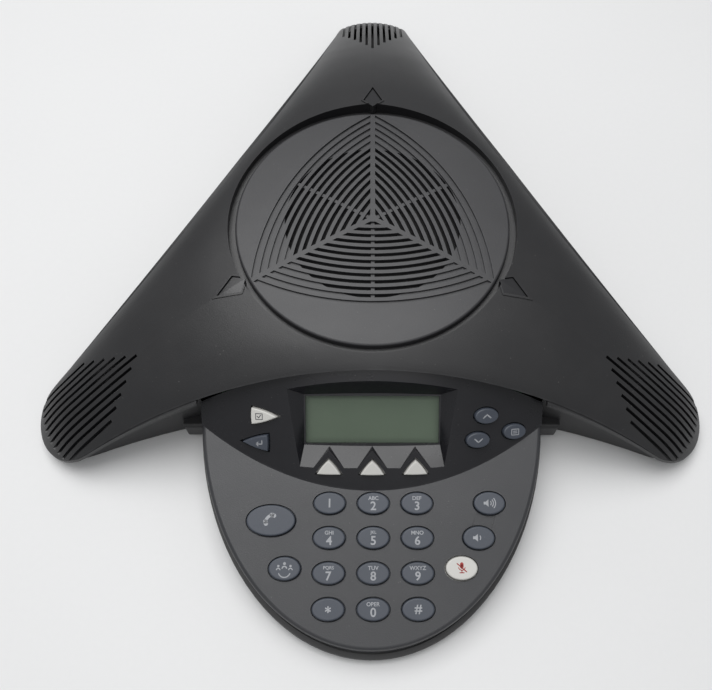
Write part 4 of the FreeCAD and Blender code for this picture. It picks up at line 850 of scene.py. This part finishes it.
class SPEAKERPHONE_OT_electronics(bpy.types.Operator):
    """Finishes the boards, the key mat, the ribbon and the line socket with its contacts"""
    bl_idname = "speakerphone.electronics"
    bl_label = "Electronics"

    def execute(self, context):
        dress_all(nodes_in("board_green"),
                  board_material("solder_mask", SLOT_COLOUR["board_green"]))
        dress("keypad_membrane", moulded(
            "silicone_mat", (0.30, 0.31, 0.33), roughness=0.6, grain=0.0006, depth=0.00002, scuff_and_highlight=0.0,
            dust=0.1, mottle=0.1, spread=0.1, extra={"Subsurface Weight": 0.2}))
        dress("ribbon_cable", moulded(
            "flat_cable", (0.72, 0.71, 0.67), roughness=0.4, grain=0.0009, depth=0.00002, scuff_and_highlight=0.0,
            dust=0.05, mottle=0.1))
        dress("line_jack", moulded(
            "socket_plastic", (0.03, 0.03, 0.03), roughness=0.4, grain=0.0004, depth=0.00002,
            scuff_and_highlight=0.2, dust=0.1, mottle=0.2))
        dress_all(nodes_in("brass_capsule"), moulded(
            "capsule_aluminium", (0.6, 0.6, 0.6), roughness=0.35, grain=0.0004, depth=0.00001,
            scuff_and_highlight=0.1, dust=0.1, mottle=0.1, spread=0.1, extra={"Metallic": 1.0}))
        self.add_contacts(context)
        return {"FINISHED"}

    def add_contacts(self, context):
        """Six spring wires that lean into the socket's mouth."""
        low, high = (Vector(corner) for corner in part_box("line_jack"))
        middle = (low + high) / 2
        curve = bpy.data.curves.new("socket_contacts", "CURVE")
        curve.dimensions = "3D"
        curve.bevel_depth = CONTACT_RADIUS
        curve.bevel_resolution = 3
        for i in range(CONTACT_COUNT):
            y = middle.y + (i - (CONTACT_COUNT - 1) / 2) * CONTACT_PITCH
            route = [(high.x - 0.0034, y, middle.z + 0.0028), (low.x + 0.0040, y, middle.z + 0.0030),
                     (low.x + 0.0028, y, middle.z + 0.0024), (low.x + 0.0034, y, middle.z + 0.0016),
                     (high.x - 0.0042, y, middle.z - 0.0006)]
            spline = curve.splines.new("POLY")
            spline.points.add(len(route) - 1)
            for point, place in zip(spline.points, route):
                point.co = (*place, 1.0)
        curve.materials.append(moulded(
            "contact_gold", (0.83, 0.62, 0.28), roughness=0.25, grain=0.0003, depth=0.000005,
            scuff_and_highlight=0.0, dust=0.0, mottle=0.1, spread=0.1, extra={"Metallic": 1.0}))
        contacts = bpy.data.objects.new("socket_contacts", curve)
        context.scene.collection.objects.link(contacts)
        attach(contacts, "housing")


class SPEAKERPHONE_OT_keys(bpy.types.Operator):
    """Finishes the grey and the off-white key caps"""
    bl_idname = "speakerphone.keys"
    bl_label = "Key caps"

    def execute(self, context):
        look = context.scene.speakerphone.keys
        # the slate keys' rims are painted paler, partly scuffing and partly a painted rim highlight
        dress_all(nodes_in("key_slate"), moulded(
            "key_slate", look.slate, roughness=0.44, grain=0.00035, depth=0.00002, scuff_and_highlight=0.45,
            dust=0.25, mottle=0.15, spread=0.07))
        dress_all(nodes_in("key_white"), moulded(
            "key_white", look.white, roughness=0.42, grain=0.00035, depth=0.000015, scuff_and_highlight=0.1,
            dust=0.1, mottle=0.05, spread=0.07))
        return {"FINISHED"}


class SPEAKERPHONE_OT_legends(bpy.types.Operator):
    """Prints the digits, letters and plain icons on the keys"""
    bl_idname = "speakerphone.legends"
    bl_label = "Legends"

    def execute(self, context):
        look = context.scene.speakerphone.keys
        light = ink_material("ink_light", look.legend)
        dark = ink_material("ink_dark", look.dark_legend)
        red = ink_material("ink_red", look.mute)
        for node, (digit, letters) in DIGITS.items():
            art = Artwork()
            height = look.digit / MM
            if digit == "*":
                art.word(digit, STAR_SHARE * height)
            elif letters:
                art.word(digit, height, 0.0, DIGIT_DROP)
                art.word(letters, look.letters / MM, 0.0, LETTERS_RISE)
            else:
                art.word(digit, height)
            self.print_on(node, art, light)
        for node, draw in ICONS.items():
            art = Artwork()
            draw(art)
            self.print_on(node, art, {"key_mute": red, "key_select": dark}.get(node, light))
        return {"FINISHED"}

    def print_on(self, node, art, ink):
        """Lays artwork on a key, so that it moves with it."""
        piece = art.lay("legend_" + node.replace("key_", ""), key_place(node), LEGEND_LIFT, ink)
        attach(piece, node)


OPERATORS = (SPEAKERPHONE_OT_stage, SPEAKERPHONE_OT_casings, SPEAKERPHONE_OT_console,
             SPEAKERPHONE_OT_grille, SPEAKERPHONE_OT_loudspeaker, SPEAKERPHONE_OT_display,
             SPEAKERPHONE_OT_electronics, SPEAKERPHONE_OT_keys, SPEAKERPHONE_OT_legends)


class SPEAKERPHONE_PT_panel(bpy.types.Panel):
    """Settings and steps of the speakerphone"""
    bl_idname = "SPEAKERPHONE_PT_panel"
    bl_label = "Conference speakerphone"
    bl_space_type = "VIEW_3D"
    bl_region_type = "UI"
    bl_category = "Speakerphone"

    def draw(self, context):
        settings = context.scene.speakerphone
        for name in ("casing", "keys", "display", "stage"):
            group = getattr(settings, name)
            box = self.layout.box()
            box.label(text=name.capitalize())
            for key in group.bl_rna.properties.keys():
                if key not in ("rna_type", "name"):
                    box.prop(group, key)
        for operator in OPERATORS:
            self.layout.operator(operator.bl_idname)


CLASSES = (CasingSettings, KeySettings, DisplaySettings, StageSettings, SpeakerphoneSettings,
           *OPERATORS, SPEAKERPHONE_PT_panel)


def register():
    for cls in CLASSES:
        bpy.utils.register_class(cls)
    bpy.types.Scene.speakerphone = PointerProperty(type=SpeakerphoneSettings)


def unregister():
    del bpy.types.Scene.speakerphone
    for cls in reversed(CLASSES):
        bpy.utils.unregister_class(cls)


def main():
    register()
    bpy.ops.speakerphone.stage()
    bpy.ops.speakerphone.casings()
    bpy.ops.speakerphone.console()
    bpy.ops.speakerphone.grille()
    bpy.ops.speakerphone.loudspeaker()
    bpy.ops.speakerphone.display()
    bpy.ops.speakerphone.electronics()
    bpy.ops.speakerphone.keys()
    bpy.ops.speakerphone.legends()


if __name__ == "__main__":
    main()
